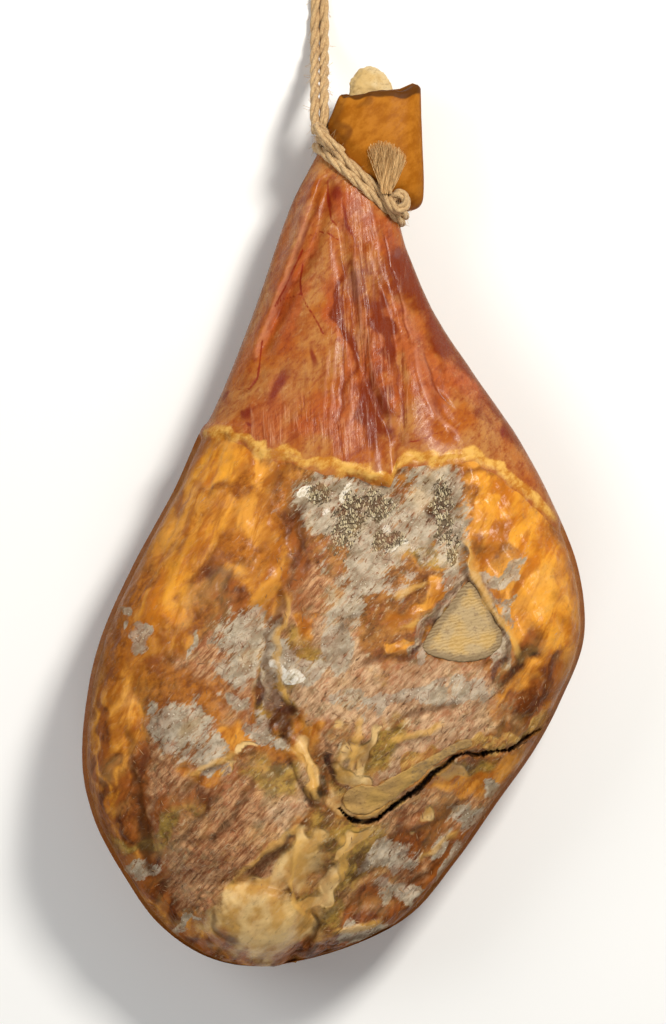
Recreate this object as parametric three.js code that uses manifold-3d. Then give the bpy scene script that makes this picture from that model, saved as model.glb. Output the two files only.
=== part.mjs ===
// A whole dry-cured ham on the bone, lying on its back with the cut meat side up.
// Millimetres. +Y runs from the rump to the hock, +X to the right of the meat side, +Z up from the surface it lies on.
// The ham is one solid: rind, fat and lean meat grow together. Three bones show in its surface,
// a doubled jute rope is drawn tight round its neck, and the rope's hanging loop lies in front of the hock.
import * as THREE from "three";
import { mergeVertices } from "three/addons/utils/BufferGeometryUtils.js";
import Module from "manifold-3d";

const wasm = await Module();
wasm.setup();

// Driving dimensions.
const RIND = 3; // how far the rind stands above the trimmed fat and meat
const ROPE = 6.5; // diameter of the jute rope
const STRAND_GAP = 0.4; // between the two strands that run side by side
const CLEARANCE = 0.35; // between pieces that touch
const WIDEST = 0.45; // share of the thickness at which the ham is widest
const POCKET_DEPTH = 18; // how deep a bone that shows is let into the meat

// The form from the hock to the rump, as stations. Each one holds the left and the right end of a chord across
// the ham, x and y, and the height of the underside and of the meat side above the surface it lies on.
// The chords lie aslant at the neck, as the rope does, and the last one is the point where both edges meet.
const STATIONS = [
  { left: [2, 268], right: [56, 273], under: 28, over: 74, square: 3.4 },
  { left: [-1, 261], right: [57, 243], under: 25, over: 78, square: 3.2 },
  { left: [-4, 254], right: [58, 212], under: 25, over: 79, square: 3 },
  { left: [-5, 249], right: [55, 200], under: 26, over: 77, square: 2.6 },
  { left: [-8, 241], right: [42, 195], under: 29, over: 73, square: 2.1 },
  { left: [-13, 230], right: [43, 186], under: 28, over: 76, square: 2.1 },
  { left: [-29, 198], right: [49, 167], under: 23, over: 82, square: 2.1 },
  { left: [-49, 140], right: [65, 131], under: 16, over: 92, square: 2.1 },
  { left: [-67, 93], right: [89, 94], under: 9, over: 104, square: 2.2 },
  { left: [-80, 64], right: [110, 64], under: 5, over: 112, square: 2.2 },
  { left: [-87, 54], right: [121, 47], under: 3, over: 116, square: 2.3 },
  { left: [-104, 16], right: [139, 13], under: 1, over: 126, square: 2.4 },
  { left: [-130, -32], right: [157, -32], under: -2, over: 136, square: 2.5 },
  { left: [-151, -80], right: [161, -77], under: -3, over: 142, square: 2.5 },
  { left: [-160, -122], right: [147, -116], under: -3, over: 143, square: 2.5 },
  { left: [-162, -161], right: [129, -150], under: -1, over: 141, square: 2.4 },
  { left: [-154, -196], right: [105, -184], under: 5, over: 134, square: 2.3 },
  { left: [-136, -230], right: [79, -221], under: 14, over: 122, square: 2.2 },
  { left: [-113, -262], right: [48, -257], under: 29, over: 105, square: 2.1 },
  { left: [-82, -283], right: [3, -279], under: 48, over: 86, square: 2 },
  { left: [-46, -289], right: [-46, -289], under: 67, over: 67, square: 2 },
];
const LAST = STATIONS.length - 1;
const NECK = [3.75, 4.55]; // stations where the rope's two turns lie

// Where the rind was cut off across the meat side: its lower edge, left to right.
const RIND_EDGE = [
  [-92, 54], [-76, 54], [-60, 50], [-46, 42], [-2, 32], [36, 24], [40, 35], [68, 38], [91, 38], [107, 30],
  [126, 12], [146, -3],
];

// The mesh grid.
const TOP_COLUMNS = 42;
const BACK_COLUMNS = 19;
const ROWS = 52;
const STATION_PACE = 14; // extra millimetres that each station counts for, so that the short hock gets its rows
const TOP_EVENNESS = 0.35; // 0 spaces the columns by their angle round the ham, 1 by their way across it
const RIM = 0.9995; // how far across the chord the meat side's outermost column lies
const STEP = 0.02; // stations between the two rows of the rind's cut edge
const CAP_BULGE = 3; // the cut hock end's swelling

const FLESH_COLOUR = 0xb5733a;
const BONE_COLOUR = 0xd2b67c;
const ROPE_COLOUR = 0xb99a62;

// Smooth interpolation.
const mix = (a, b, t) => a + (b - a) * t;

function smoothStep(low, high, value) {
  const t = Math.min(1, Math.max(0, (value - low) / (high - low)));
  return t * t * (3 - 2 * t);
}

function catmullRom(a, b, c, d, t) {
  return 0.5 * (2 * b + (c - a) * t + (2 * a - 5 * b + 4 * c - d) * t * t + (3 * b - a - 3 * c + d) * t * t * t);
}

// Past the rump the outline turns back on itself, and before the hock it runs straight on.
const AFTER_RUMP = {
  left: STATIONS[LAST - 1].right,
  right: STATIONS[LAST - 1].left,
  under: STATIONS[LAST - 1].over,
  over: STATIONS[LAST - 1].under,
  square: STATIONS[LAST].square,
};

function stationAt(place) {
  const from = Math.min(LAST - 1, Math.max(0, Math.floor(place)));
  const around = [STATIONS[Math.max(0, from - 1)], STATIONS[from], STATIONS[from + 1], STATIONS[from + 2] ?? AFTER_RUMP];
  const blend = (read) => catmullRom(...around.map(read), place - from);
  return {
    left: [blend((s) => s.left[0]), blend((s) => s.left[1])],
    right: [blend((s) => s.right[0]), blend((s) => s.right[1])],
    under: blend((s) => s.under),
    over: blend((s) => s.over),
    square: blend((s) => s.square),
  };
}

// Forms of the meat side, each one a function of x and y that gives a height.
function bulge(x, y, alongX, alongY, turn, rise) {
  const c = Math.cos(THREE.MathUtils.degToRad(turn));
  const s = Math.sin(THREE.MathUtils.degToRad(turn));
  return (px, py) => {
    const a = ((px - x) * c + (py - y) * s) / alongX;
    const b = ((py - y) * c - (px - x) * s) / alongY;
    const inside = Math.max(0, 1 - a * a - b * b);
    return rise * inside * (2 - inside);
  };
}

function alongPath(points, width, rise) {
  const curve = new THREE.SplineCurve(points.map(([x, y]) => new THREE.Vector2(x, y)));
  const samples = curve.getSpacedPoints(30);
  return (px, py) => {
    const nearest = Math.min(...samples.map((p) => Math.hypot(p.x - px, p.y - py)));
    return rise * Math.exp(-((nearest / width) ** 2));
  };
}

const RIND_FORMS = [
  alongPath([[-12, 216], [-23, 182], [-42, 138], [-60, 96]], 7, 6), // the tendon under the rind
  alongPath([[-4, 212], [-12, 180], [-29, 145], [-45, 109]], 5, -6), // the furrow beside it
  alongPath([[3, 186], [11, 138], [18, 93], [34, 55], [38, 25]], 4.5, -4), // folds drawn together by the rope
  alongPath([[22, 170], [38, 119], [44, 74], [41, 48]], 4, -3),
  alongPath([[46, 138], [62, 100], [72, 55]], 5, -2.5),
  alongPath([[14, 164], [25, 113], [32, 68]], 5, 2.5),
  bulge(75, 78, 42, 48, 0, 4),
];
const MEAT_FORMS = [
  alongPath([[93, 26], [120, 10], [138, -23], [143, -68], [130, -113]], 18, 5), // roll of fat on the right
  alongPath([[98, -28], [113, -58], [123, -90], [119, -112]], 8, -6), // fold between that roll and the hip bone
  bulge(27, -8, 58, 40, 0, -8), // hollow below the rind's edge
  bulge(-86, -16, 52, 72, 0, 4), // fat on the left
  bulge(52, -124, 74, 50, 20, 7), // the lobe over the hip bone
  bulge(62, -203, 78, 34, 38, -9), // lower meat beyond the crack
  bulge(-70, -193, 50, 40, 0, 6), // lobe of lean meat on the left
  bulge(-49, -259, 36, 25, -8, 12), // the knuckle
  bulge(23, -266, 40, 18, 10, 5), // small lobe beside the knuckle
  alongPath([[-40, -235], [-22, -215], [-6, -197]], 12, 3), // sinew from the knuckle up
  alongPath([[-46, -64], [-37, -106], [-24, -141], [-10, -167], [2, -183]], 9, -6), // seam between the muscles
  alongPath([[-34, -141], [-21, -161], [-9, -178]], 7, 5), // ridge of fat along the seam
  alongPath([[-10, -228], [-14, -251], [-22, -273], [-27, -286]], 7, -8), // groove beside the knuckle
  alongPath([[-18, -266], [7, -257], [43, -248]], 6, -4), // crease above the small lobe
  alongPath([[-142, -87], [-150, -132], [-145, -177], [-128, -222], [-108, -251]], 8, 3), // rim of fat
  alongPath([[-124, -113], [-118, -158], [-124, -190], [-118, -222], [-100, -248]], 8, -5), // groove inside it
];
const RELIEF_FADE = 0.22; // share of the half chord over which the forms die out towards the rim

function relief(forms, x, y, across) {
  const height = forms.reduce((sum, form) => sum + form(x, y), 0);
  return height * smoothStep(0, RELIEF_FADE, 1 - Math.abs(across));
}

// A point of the skin. across runs from -1 at the left edge to 1 at the right one; bare is true where the rind is off.
function bodyPoint(place, across, isTop, grow, bare) {
  const s = stationAt(place);
  const half = [(s.right[0] - s.left[0]) / 2, (s.right[1] - s.left[1]) / 2];
  const halfWidth = Math.hypot(...half);
  const out = (grow - (bare ? RIND : 0)) * smoothStep(0, 40, halfWidth);
  const stretch = halfWidth > 0 ? (halfWidth + out) / halfWidth : 0;
  const middle = mix(s.under, s.over, WIDEST);
  const reach = (isTop ? s.over - middle : middle - s.under) + out;
  const rise = Math.max(0, reach) * (1 - Math.abs(across) ** s.square) ** (1 / s.square);
  const x = (s.left[0] + s.right[0]) / 2 + half[0] * stretch * across;
  const y = (s.left[1] + s.right[1]) / 2 + half[1] * stretch * across;
  const form = isTop ? relief(bare ? MEAT_FORMS : RIND_FORMS, x, y, across) : 0;
  return new THREE.Vector3(x, y, middle + (isTop ? rise + form : -rise));
}

function rindEdgeY(x) {
  const next = Math.max(1, RIND_EDGE.findIndex(([px]) => px > x));
  const [x0, y0] = RIND_EDGE[next - 1];
  const [x1, y1] = RIND_EDGE[next];
  return mix(y0, y1, Math.min(1, Math.max(0, (x - x0) / (x1 - x0))));
}

// The station at which a column of the meat side crosses the rind's cut edge.
function rindEdgePlace(across) {
  let low = 6;
  let high = 14;
  while (high - low > 1e-4) {
    const middle = (low + high) / 2;
    const p = bodyPoint(middle, across, true, 0, false);
    if (p.y > rindEdgeY(p.x)) low = middle;
    else high = middle;
  }
  return low;
}

// How far along the two edges each place lies, so that rows can be spaced evenly.
const PACES = (() => {
  const found = [0];
  const steps = 20 * LAST;
  for (let k = 1; k <= steps; k++) {
    const a = stationAt(((k - 1) / steps) * LAST);
    const b = stationAt((k / steps) * LAST);
    const moved = (side) => Math.hypot(b[side][0] - a[side][0], b[side][1] - a[side][1]);
    found.push(found[k - 1] + (moved("left") + moved("right")) / 2 + STATION_PACE / 20);
  }
  return found;
})();

function paceOf(place) {
  const k = Math.min(PACES.length - 2, Math.floor(place * 20));
  return mix(PACES[k], PACES[k + 1], place * 20 - k);
}

function placeOf(pace) {
  const k = Math.min(PACES.length - 1, Math.max(1, PACES.findIndex((value) => value >= pace)));
  return (k - 1 + (pace - PACES[k - 1]) / (PACES[k] - PACES[k - 1])) / 20;
}

// Columns round the ham: over the meat side from left to right, then back under it.
function columns() {
  const across = (t, evenness) => mix(Math.sin((t * Math.PI) / 2), t, evenness);
  const found = [];
  for (let k = 0; k <= TOP_COLUMNS; k++) {
    const u = across(-1 + (2 * k) / TOP_COLUMNS, TOP_EVENNESS);
    found.push({ across: Math.max(-RIM, Math.min(RIM, u)), isTop: true });
  }
  for (let k = 0; k <= BACK_COLUMNS; k++) found.push({ across: across(1 - (2 * k) / BACK_COLUMNS, 0), isTop: false });
  const edges = [rindEdgePlace(-RIM), rindEdgePlace(RIM)];
  for (const c of found) {
    c.edge = c.isTop ? rindEdgePlace(c.across) : mix(edges[0], edges[1], (c.across + 1) / 2);
  }
  return found;
}

const COLUMNS = columns();
const RIND_ROWS = Math.round((ROWS * paceOf(rindEdgePlace(0))) / paceOf(LAST));

// The whole ham's outer form, grown outwards by so many millimetres.
function hamForm(grow) {
  const rings = [];
  const start = stationAt(0);
  const centre = new THREE.Vector3(
    (start.left[0] + start.right[0]) / 2,
    (start.left[1] + start.right[1]) / 2,
    mix(start.under, start.over, 0.5),
  );
  const first = COLUMNS.map((c) => bodyPoint(0, c.across, c.isTop, grow, false));
  for (const [shrink, lift] of [[0.55, CAP_BULGE + grow], [0.9, CAP_BULGE * 0.7 + grow]]) {
    rings.push(first.map((p) => p.clone().lerp(centre, 1 - shrink).add(new THREE.Vector3(0, lift, 0))));
  }
  for (let row = 0; row <= ROWS; row++) {
    rings.push(
      COLUMNS.map((c) => {
        const onRind = row <= RIND_ROWS;
        const from = onRind ? 0 : paceOf(c.edge + STEP);
        const to = onRind ? paceOf(c.edge) : paceOf(LAST - 0.06);
        const share = onRind ? row / RIND_ROWS : (row - RIND_ROWS - 1) / (ROWS - RIND_ROWS - 1);
        return bodyPoint(placeOf(mix(from, to, share)), c.across, c.isTop, grow, !onRind && c.isTop);
      }),
    );
  }
  const tip = bodyPoint(LAST, 0, true, 0, true);
  return closedGrid(rings, centre.clone().add(new THREE.Vector3(0, CAP_BULGE + grow, 0)), tip);
}

// A closed surface from rings of points, shut by a point at each end.
function closedGrid(rings, startPoint, endPoint) {
  const n = rings[0].length;
  const points = [startPoint, ...rings.flat(), endPoint];
  const index = [];
  for (let k = 0; k < n; k++) {
    const next = (k + 1) % n;
    index.push(0, 1 + k, 1 + next);
    for (let row = 0; row + 1 < rings.length; row++) {
      const a = 1 + row * n + k;
      const b = 1 + row * n + next;
      index.push(a, a + n, b, b, a + n, b + n);
    }
    const end = 1 + (rings.length - 1) * n;
    index.push(end + k, points.length - 1, end + next);
  }
  const geometry = new THREE.BufferGeometry().setFromPoints(points);
  geometry.setIndex(index);
  return geometry;
}

// A solid for joining and cutting.
function solid(geometry) {
  const bare = geometry.clone();
  for (const name of ["normal", "uv"]) bare.deleteAttribute(name);
  const merged = mergeVertices(bare, 1e-4);
  return new wasm.Manifold(
    new wasm.Mesh({
      numProp: 3,
      vertProperties: merged.attributes.position.array,
      triVerts: new Uint32Array(merged.index.array),
    }),
  );
}

// An upright block over an outline, from a height up.
function block(outline, bottom, top) {
  const shape = new THREE.Shape(outline);
  const geometry = new THREE.ExtrudeGeometry(shape, { depth: top - bottom, bevelEnabled: false });
  return solid(geometry.translate(0, 0, bottom));
}

// A closed outline through points, smoothed and moved outwards by grow.
function smoothOutline(points, count, grow) {
  const curve = new THREE.CatmullRomCurve3(points.map(([x, y]) => new THREE.Vector3(x, y, 0)), true);
  const line = curve.getSpacedPoints(count).slice(0, count);
  const turn = THREE.ShapeUtils.area(line) > 0 ? 1 : -1;
  return line.map((p, k) => {
    const before = line[(k + count - 1) % count];
    const after = line[(k + 1) % count];
    const along = new THREE.Vector2(after.x - before.x, after.y - before.y).normalize();
    return new THREE.Vector2(p.x + along.y * grow * turn, p.y - along.x * grow * turn);
  });
}

// A band along a line of points [x, y, half width].
function bandOutline(points) {
  const sides = [[], []];
  points.forEach(([x, y, width], k) => {
    const [x0, y0] = points[Math.max(0, k - 1)];
    const [x1, y1] = points[Math.min(points.length - 1, k + 1)];
    const along = new THREE.Vector2(x1 - x0, y1 - y0).normalize();
    sides[0].push(new THREE.Vector2(x - along.y * width, y + along.x * width));
    sides[1].unshift(new THREE.Vector2(x + along.y * width, y - along.x * width));
  });
  return sides.flat();
}

// The crack where the lobe over the hip bone stands off the lower meat: x, y, half width.
const CRACK = [
  [3, -185, 1.2], [9, -191, 2.2], [18, -193.5, 2.8], [27, -192, 2.8], [34, -186.5, 2.6], [45, -178.5, 2.4],
  [56, -170.5, 2.2], [61.5, -163.5, 2], [70, -158.5, 1.8], [76, -152.5, 1.6], [85, -150, 1.6], [93, -151, 1.6],
  [101, -149, 1.5], [112, -148.5, 1.4], [124, -141, 1.2], [133, -136, 0.8],
];
const CRACK_DEPTH = 20;
// The sawn edge of the hip bone, above the crack.
const HIP_EDGE = [
  [5, -181], [9, -173], [17, -170], [26, -171], [35, -166], [46, -160], [57, -154], [68, -148], [77, -143],
  [87, -141], [88, -145.5], [79, -148], [71, -153], [62, -158.5], [54.5, -166.5], [44, -174], [34, -182], [26, -187],
  [17, -189], [9, -187],
];
// The sawn face of the hip bone.
const HIP_FACE = [[86, -41], [97, -52], [104, -66], [107, -79], [98, -89], [83, -92], [68, -90], [56, -84], [61, -72], [73, -56]];
const BONE_PROUD = 1; // how far a bone's sawn face stands out of the meat

const WHOLE = solid(hamForm(0));
const PROUD = solid(hamForm(BONE_PROUD));

function topHeight(x, y) {
  const down = new THREE.Raycaster(new THREE.Vector3(x, y, 500), new THREE.Vector3(0, 0, -1));
  const surface = new THREE.Mesh(hamForm(0), new THREE.MeshBasicMaterial());
  return down.intersectObject(surface)[0].point.z;
}

// The bone in a pocket is its outline, cut to the ham's own form and standing a little proud.
function inlaidBone(points, count, depth) {
  const middle = smoothOutline(points, count, 0).reduce((sum, p) => sum.add(p), new THREE.Vector2()).divideScalar(count);
  const floor = topHeight(middle.x, middle.y) - depth;
  return {
    bone: block(smoothOutline(points, count, 0), floor, 400).intersect(PROUD),
    pocket: block(smoothOutline(points, count, CLEARANCE), floor - CLEARANCE, 400),
  };
}

// The end of the shin bone: a lump with two knuckles that stands out of the cut hock.
const HOCK_BONE = { at: [24, 271, 53], size: [15.5, 19, 15], detail: 3 };

function hockBone(grow) {
  const geometry = mergeVertices(bareSphere(HOCK_BONE.detail), 1e-4);
  const p = geometry.attributes.position;
  const [sx, sy, sz] = HOCK_BONE.size;
  for (let k = 0; k < p.count; k++) {
    const d = new THREE.Vector3().fromBufferAttribute(p, k).normalize();
    const lumps = 1 + 0.07 * Math.cos(3 * d.x + 1) + 0.06 * Math.sin(5 * d.z + 2 * d.x) - 0.1 * Math.max(0, d.x) * d.y;
    p.setXYZ(k, d.x * (sx * lumps + grow), d.y * (sy * lumps + grow), d.z * (sz * lumps + grow));
  }
  return solid(geometry.translate(...HOCK_BONE.at));
}

function bareSphere(detail) {
  const geometry = new THREE.IcosahedronGeometry(1, detail);
  for (const name of ["normal", "uv"]) geometry.deleteAttribute(name);
  return geometry;
}

function lump(at, size, grow) {
  const geometry = bareSphere(1).scale(...size.map((s) => s + grow));
  return solid(geometry.translate(...at));
}

// One turn of the rope round the neck, half sunk in the rind.
const SUNK = 0.4; // share of the rope's radius that stands above the rind, to its middle

function ropeTurn(place, grow) {
  const points = [];
  for (let k = 0; k < 24; k++) {
    const angle = (k / 24) * 2 * Math.PI;
    points.push(bodyPoint(place, Math.cos(angle), Math.sin(angle) > 0, SUNK * ROPE, false));
  }
  return solid(new THREE.TubeGeometry(new THREE.CatmullRomCurve3(points, true), 34, ROPE / 2 + grow, 7, true));
}

// The knot that holds the turns, on the right, and the hitch that the hanging loop comes out of, on the left.
const KNOT = { place: 3.55, across: 0.62, curl: 4.6 };
const HITCH = { place: 3.3, across: -0.86 };

// A joined form without the sealed hollows that joining leaves in it.
function filled(form) {
  return form.decompose().reduce((largest, body) => (body.volume() > largest.volume() ? body : largest));
}

function noose(grow) {
  const at = bodyPoint(KNOT.place, KNOT.across, true, ROPE * 0.7, false);
  const curl = new THREE.TorusGeometry(KNOT.curl, ROPE / 2 + grow, 7, 12).rotateX(0.3).rotateY(-0.25);
  const hitch = bodyPoint(HITCH.place, HITCH.across, true, 1, false);
  const joined = wasm.Manifold.union([
    ...NECK.map((place) => ropeTurn(place, grow)),
    solid(curl.translate(at.x + 1, at.y - 2, at.z + 0.5)),
    lump([at.x - 6, at.y + 3, at.z], [6, 5, 4.6], grow),
    lump([at.x - 3, at.y - 5, at.z], [5.5, 4.5, 4.5], grow),
    lump([hitch.x - 1, hitch.y - 3, hitch.z], [7.5, 9, 7], grow),
  ]);
  return filled(joined);
}

// The rope's frayed end, a flat brush that lies on the rind of the hock.
const BRUSH = [[32, 210], [26, 222], [23, 237], [33, 240.5], [45.5, 233], [43, 222], [38.5, 211]];
const BRUSH_THICKNESS = 3.6;

function frayedEnd() {
  const layer = solid(hamForm(BRUSH_THICKNESS + CLEARANCE)).subtract(solid(hamForm(CLEARANCE)));
  return block(smoothOutline(BRUSH, 14, 0), 60, 120).intersect(layer).subtract(noose(CLEARANCE));
}

// The hanging loop: up from the hitch, down onto the surface, round a small eye and back beside itself.
const LOOP_START = { x: -9.4, y: 255, z: 56 };
const EYE = { from: 350, length: 46, halfWidth: 15 };
const LIFT = ROPE / 2 + 0.3;
const LOOP_DROP = [[0, 1], [12, 0.93], [26, 0.66], [42, 0.3], [58, 0.08], [72, 0]]; // way along y, share of the fall

function hangingLoopPath(grow) {
  const apart = (ROPE + STRAND_GAP) / 2;
  const up = LOOP_DROP.map(
    ([along, share]) => new THREE.Vector3(apart, LOOP_START.y + along, mix(LIFT, LOOP_START.z, share)),
  );
  up[0].y -= grow;
  up.push(new THREE.Vector3(apart, EYE.from, LIFT));
  for (const [along, wide] of [[0.22, 0.5], [0.5, 0.94], [0.8, 0.86]]) {
    up.push(new THREE.Vector3(mix(apart, EYE.halfWidth, wide), EYE.from + along * EYE.length, LIFT));
  }
  const tip = new THREE.Vector3(0, EYE.from + EYE.length, LIFT);
  const down = up.map((p) => new THREE.Vector3(-p.x, p.y, p.z)).reverse();
  return new THREE.CatmullRomCurve3([...up, tip, ...down].map((p) => p.setX(p.x + LOOP_START.x)), false, "centripetal");
}

function hangingLoop(grow) {
  const ring = new THREE.Shape(
    Array.from({ length: 8 }, (_, k) => {
      const angle = ((k + 0.5) / 8) * 2 * Math.PI;
      return new THREE.Vector2(Math.cos(angle), Math.sin(angle)).multiplyScalar(ROPE / 2 + grow);
    }),
  );
  return solid(new THREE.ExtrudeGeometry(ring, { steps: 52, extrudePath: hangingLoopPath(grow), bevelEnabled: false }));
}

// The pieces.
const hipFace = inlaidBone(HIP_FACE, 30, POCKET_DEPTH);
const hipEdge = inlaidBone(HIP_EDGE, 44, POCKET_DEPTH);
const crackDepth = topHeight(30, -196) - CRACK_DEPTH;
const crack = block(bandOutline(CRACK), crackDepth, 400);
const aboveFloor = solid(new THREE.BoxGeometry(800, 800, 400).translate(0, 0, 200));

const ham = wasm.Manifold.difference([
  WHOLE.intersect(aboveFloor),
  hipFace.pocket,
  hipEdge.pocket,
  crack,
  hockBone(CLEARANCE),
  noose(CLEARANCE),
  hangingLoop(CLEARANCE),
]);
const pieces = [
  { name: "ham", form: ham, colour: FLESH_COLOUR, roughness: 0.45 },
  { name: "hock_bone", form: hockBone(0), colour: BONE_COLOUR, roughness: 0.6 },
  { name: "hip_bone", form: hipFace.bone, colour: BONE_COLOUR, roughness: 0.8 },
  { name: "hip_bone_edge", form: hipEdge.bone, colour: BONE_COLOUR, roughness: 0.8 },
  { name: "noose", form: noose(0).subtract(hangingLoop(CLEARANCE)), colour: ROPE_COLOUR, roughness: 0.9 },
  { name: "frayed_end", form: frayedEnd(), colour: ROPE_COLOUR, roughness: 0.9 },
  { name: "hanging_loop", form: hangingLoop(0), colour: ROPE_COLOUR, roughness: 0.9 },
];

// The origin is the middle of the ham's own box, on the surface that it lies on.
const boxes = pieces.filter((p) => p.name !== "hanging_loop").map((p) => p.form.boundingBox());
const centreOf = (axis) =>
  (Math.min(...boxes.map((b) => b.min[axis])) + Math.max(...boxes.map((b) => b.max[axis]))) / 2;
const toOrigin = [-centreOf(0), -centreOf(1), 0];

function pieceMesh({ name, form, colour, roughness }) {
  const made = form.translate(toOrigin).getMesh();
  const geometry = new THREE.BufferGeometry();
  geometry.setAttribute("position", new THREE.BufferAttribute(made.vertProperties, 3));
  geometry.setIndex(new THREE.BufferAttribute(made.triVerts, 1));
  geometry.computeVertexNormals();
  const mesh = new THREE.Mesh(geometry, new THREE.MeshStandardMaterial({ color: colour, roughness, metalness: 0 }));
  mesh.name = name;
  return mesh;
}

const group = new THREE.Group();
group.add(...pieces.map(pieceMesh));

export default group;
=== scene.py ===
# %% [markdown]
# # A whole cured ham
#
# This lesson dresses the solid model of a dry-cured ham: rind, fat, dried lean meat with its mould bloom,
# sawn bones and a jute rope. The solid gives every size and place, and we only make its surface. So the
# first step loads it; its box later centres the ham's mesh on it.

# %% Load the solid model
import math
from functools import partial

import bmesh
import bpy
import numpy as np
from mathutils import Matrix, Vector


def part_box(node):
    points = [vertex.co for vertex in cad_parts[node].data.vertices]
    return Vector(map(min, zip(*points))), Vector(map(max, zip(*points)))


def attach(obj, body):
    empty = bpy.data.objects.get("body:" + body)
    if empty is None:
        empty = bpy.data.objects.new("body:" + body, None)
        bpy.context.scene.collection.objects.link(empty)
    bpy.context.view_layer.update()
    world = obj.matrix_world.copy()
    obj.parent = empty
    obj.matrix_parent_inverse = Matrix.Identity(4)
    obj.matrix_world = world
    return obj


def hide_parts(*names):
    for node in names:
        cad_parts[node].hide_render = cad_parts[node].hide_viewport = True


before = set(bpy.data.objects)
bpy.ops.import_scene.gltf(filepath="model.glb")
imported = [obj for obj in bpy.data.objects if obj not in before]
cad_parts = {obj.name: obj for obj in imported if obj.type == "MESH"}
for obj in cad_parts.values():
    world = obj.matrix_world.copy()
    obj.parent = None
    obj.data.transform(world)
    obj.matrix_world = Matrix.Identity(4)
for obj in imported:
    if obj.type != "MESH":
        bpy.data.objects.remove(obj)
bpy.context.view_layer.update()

MM = 0.001
print("nodes:", sorted(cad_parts))

# %% [markdown]
# ## Small helpers
#
# A shader or a geometry tree is a list of nodes, and every node is added the same way: make it, set it,
# link it. One function does that and gives back the node's first output, so that trees read like sums.
# Colours are written as sRGB hex values, as a colour picker shows them, but Blender works in linear light.

# %% Colour and node helpers
def linear(hex_colour):
    """An sRGB hex colour as linear red, green, blue and alpha."""
    parts = [int(hex_colour[k:k + 2], 16) / 255 for k in (1, 3, 5)]
    return [c / 12.92 if c <= 0.04045 else ((c + 0.055) / 1.055) ** 2.4 for c in parts] + [1.0]


def add(tree, kind, inputs=None, **settings):
    """Add a node with its settings, values and links, and give back its first output."""
    node = tree.nodes.new(kind)
    for name, value in settings.items():
        setattr(node, name, value)
    for key, value in (inputs or {}).items():
        named = [s for s in node.inputs if s.enabled and s.name == key]
        socket = node.inputs[key] if isinstance(key, int) else named[0]
        if isinstance(value, bpy.types.NodeSocket):
            tree.links.new(value, socket)
        else:
            socket.default_value = value
    return next((s for s in node.outputs if s.enabled), None)


def new_material(name):
    """An empty material, its tree, and a function that adds a node to that tree."""
    material = bpy.data.materials.new(name)
    material.use_nodes = True
    material.node_tree.nodes.clear()
    return material, partial(add, material.node_tree)


def smooth_step(low, high, value):
    t = np.clip((value - low) / (high - low), 0, 1)
    return t * t * (3 - 2 * t)


print("mid grey, linear:", round(linear("#808080")[0], 3))

# %% [markdown]
# Meshes and Geometry Nodes trees need a few helpers too. A tree runs as a modifier on some object. We set
# its inputs, let Blender evaluate it, and keep the result as a plain mesh, because the export drops live
# instances.

# %% Mesh helpers
def new_piece(name, mesh, *materials):
    """An object in the scene with this mesh and these materials, smooth shaded."""
    piece = bpy.data.objects.new(name, mesh)
    bpy.context.scene.collection.objects.link(piece)
    for material in materials:
        mesh.materials.append(material)
    mesh.polygons.foreach_set("use_smooth", [True] * len(mesh.polygons))
    return piece


def mesh_from(points_mm, faces):
    mesh = bpy.data.meshes.new("mesh")
    mesh.from_pydata((np.asarray(points_mm) * MM).tolist(), [], faces)
    mesh.update()
    return mesh


def store(mesh, name, values):
    """Keep one number or one vector for each point."""
    values = np.asarray(values, np.float32)
    kind = "FLOAT_VECTOR" if values.ndim == 2 else "FLOAT"
    layer = mesh.attributes.new(name, kind, "POINT")
    layer.data.foreach_set("vector" if values.ndim == 2 else "value", values.ravel())


def geometry_tree(name, inputs):
    """An empty Geometry Nodes tree with named inputs, and a function that adds a node to it."""
    tree = bpy.data.node_groups.new(name, "GeometryNodeTree")
    tree.interface.new_socket("Geometry", in_out="INPUT", socket_type="NodeSocketGeometry")
    tree.interface.new_socket("Geometry", in_out="OUTPUT", socket_type="NodeSocketGeometry")
    for label, kind in inputs.items():
        tree.interface.new_socket(label, in_out="INPUT", socket_type="NodeSocket" + kind)
    return tree, partial(add, tree), tree.nodes.new("NodeGroupInput").outputs


def finish_tree(put, geometry):
    """End a tree as the export needs it: real geometry with a material."""
    tree = geometry.node.id_data
    material = next(n for n in tree.nodes if n.bl_idname == "NodeGroupInput").outputs["Material"]
    real = put("GeometryNodeRealizeInstances", {"Geometry": geometry})
    dressed = put("GeometryNodeSetMaterial", {"Geometry": real, "Material": material})
    put("NodeGroupOutput", {"Geometry": dressed})


def bake(name, source, tree, **values):
    """Run a tree on an object with these inputs, and keep the result as a plain mesh."""
    modifier = source.modifiers.new(tree.name, "NODES")
    modifier.node_group = tree
    for item in tree.interface.items_tree:
        if item.item_type == "SOCKET" and item.in_out == "INPUT" and item.name in values:
            modifier[item.identifier] = values[item.name]
    bpy.context.view_layer.update()
    mesh = bpy.data.meshes.new_from_object(source.evaluated_get(bpy.context.evaluated_depsgraph_get()))
    bpy.data.objects.remove(source)
    piece = bpy.data.objects.new(name, mesh)
    bpy.context.scene.collection.objects.link(piece)
    mesh.polygons.foreach_set("use_smooth", [True] * len(mesh.polygons))
    print(name, "has", sum(len(p.vertices) - 2 for p in mesh.polygons), "triangles")
    return piece


print("a millimetre is", MM, "of the scene's metres")

# %% [markdown]
# ## The camera
#
# The ham lies on its rind, meat side up, and we look straight down on it, from far enough that the picture
# has hardly any perspective. A long lens from 4.5 m does what a photographer does with a large, flat
# subject. The picture is 666 by 1024, and a pixel of it covers 0.643 mm of the ham.

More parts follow.
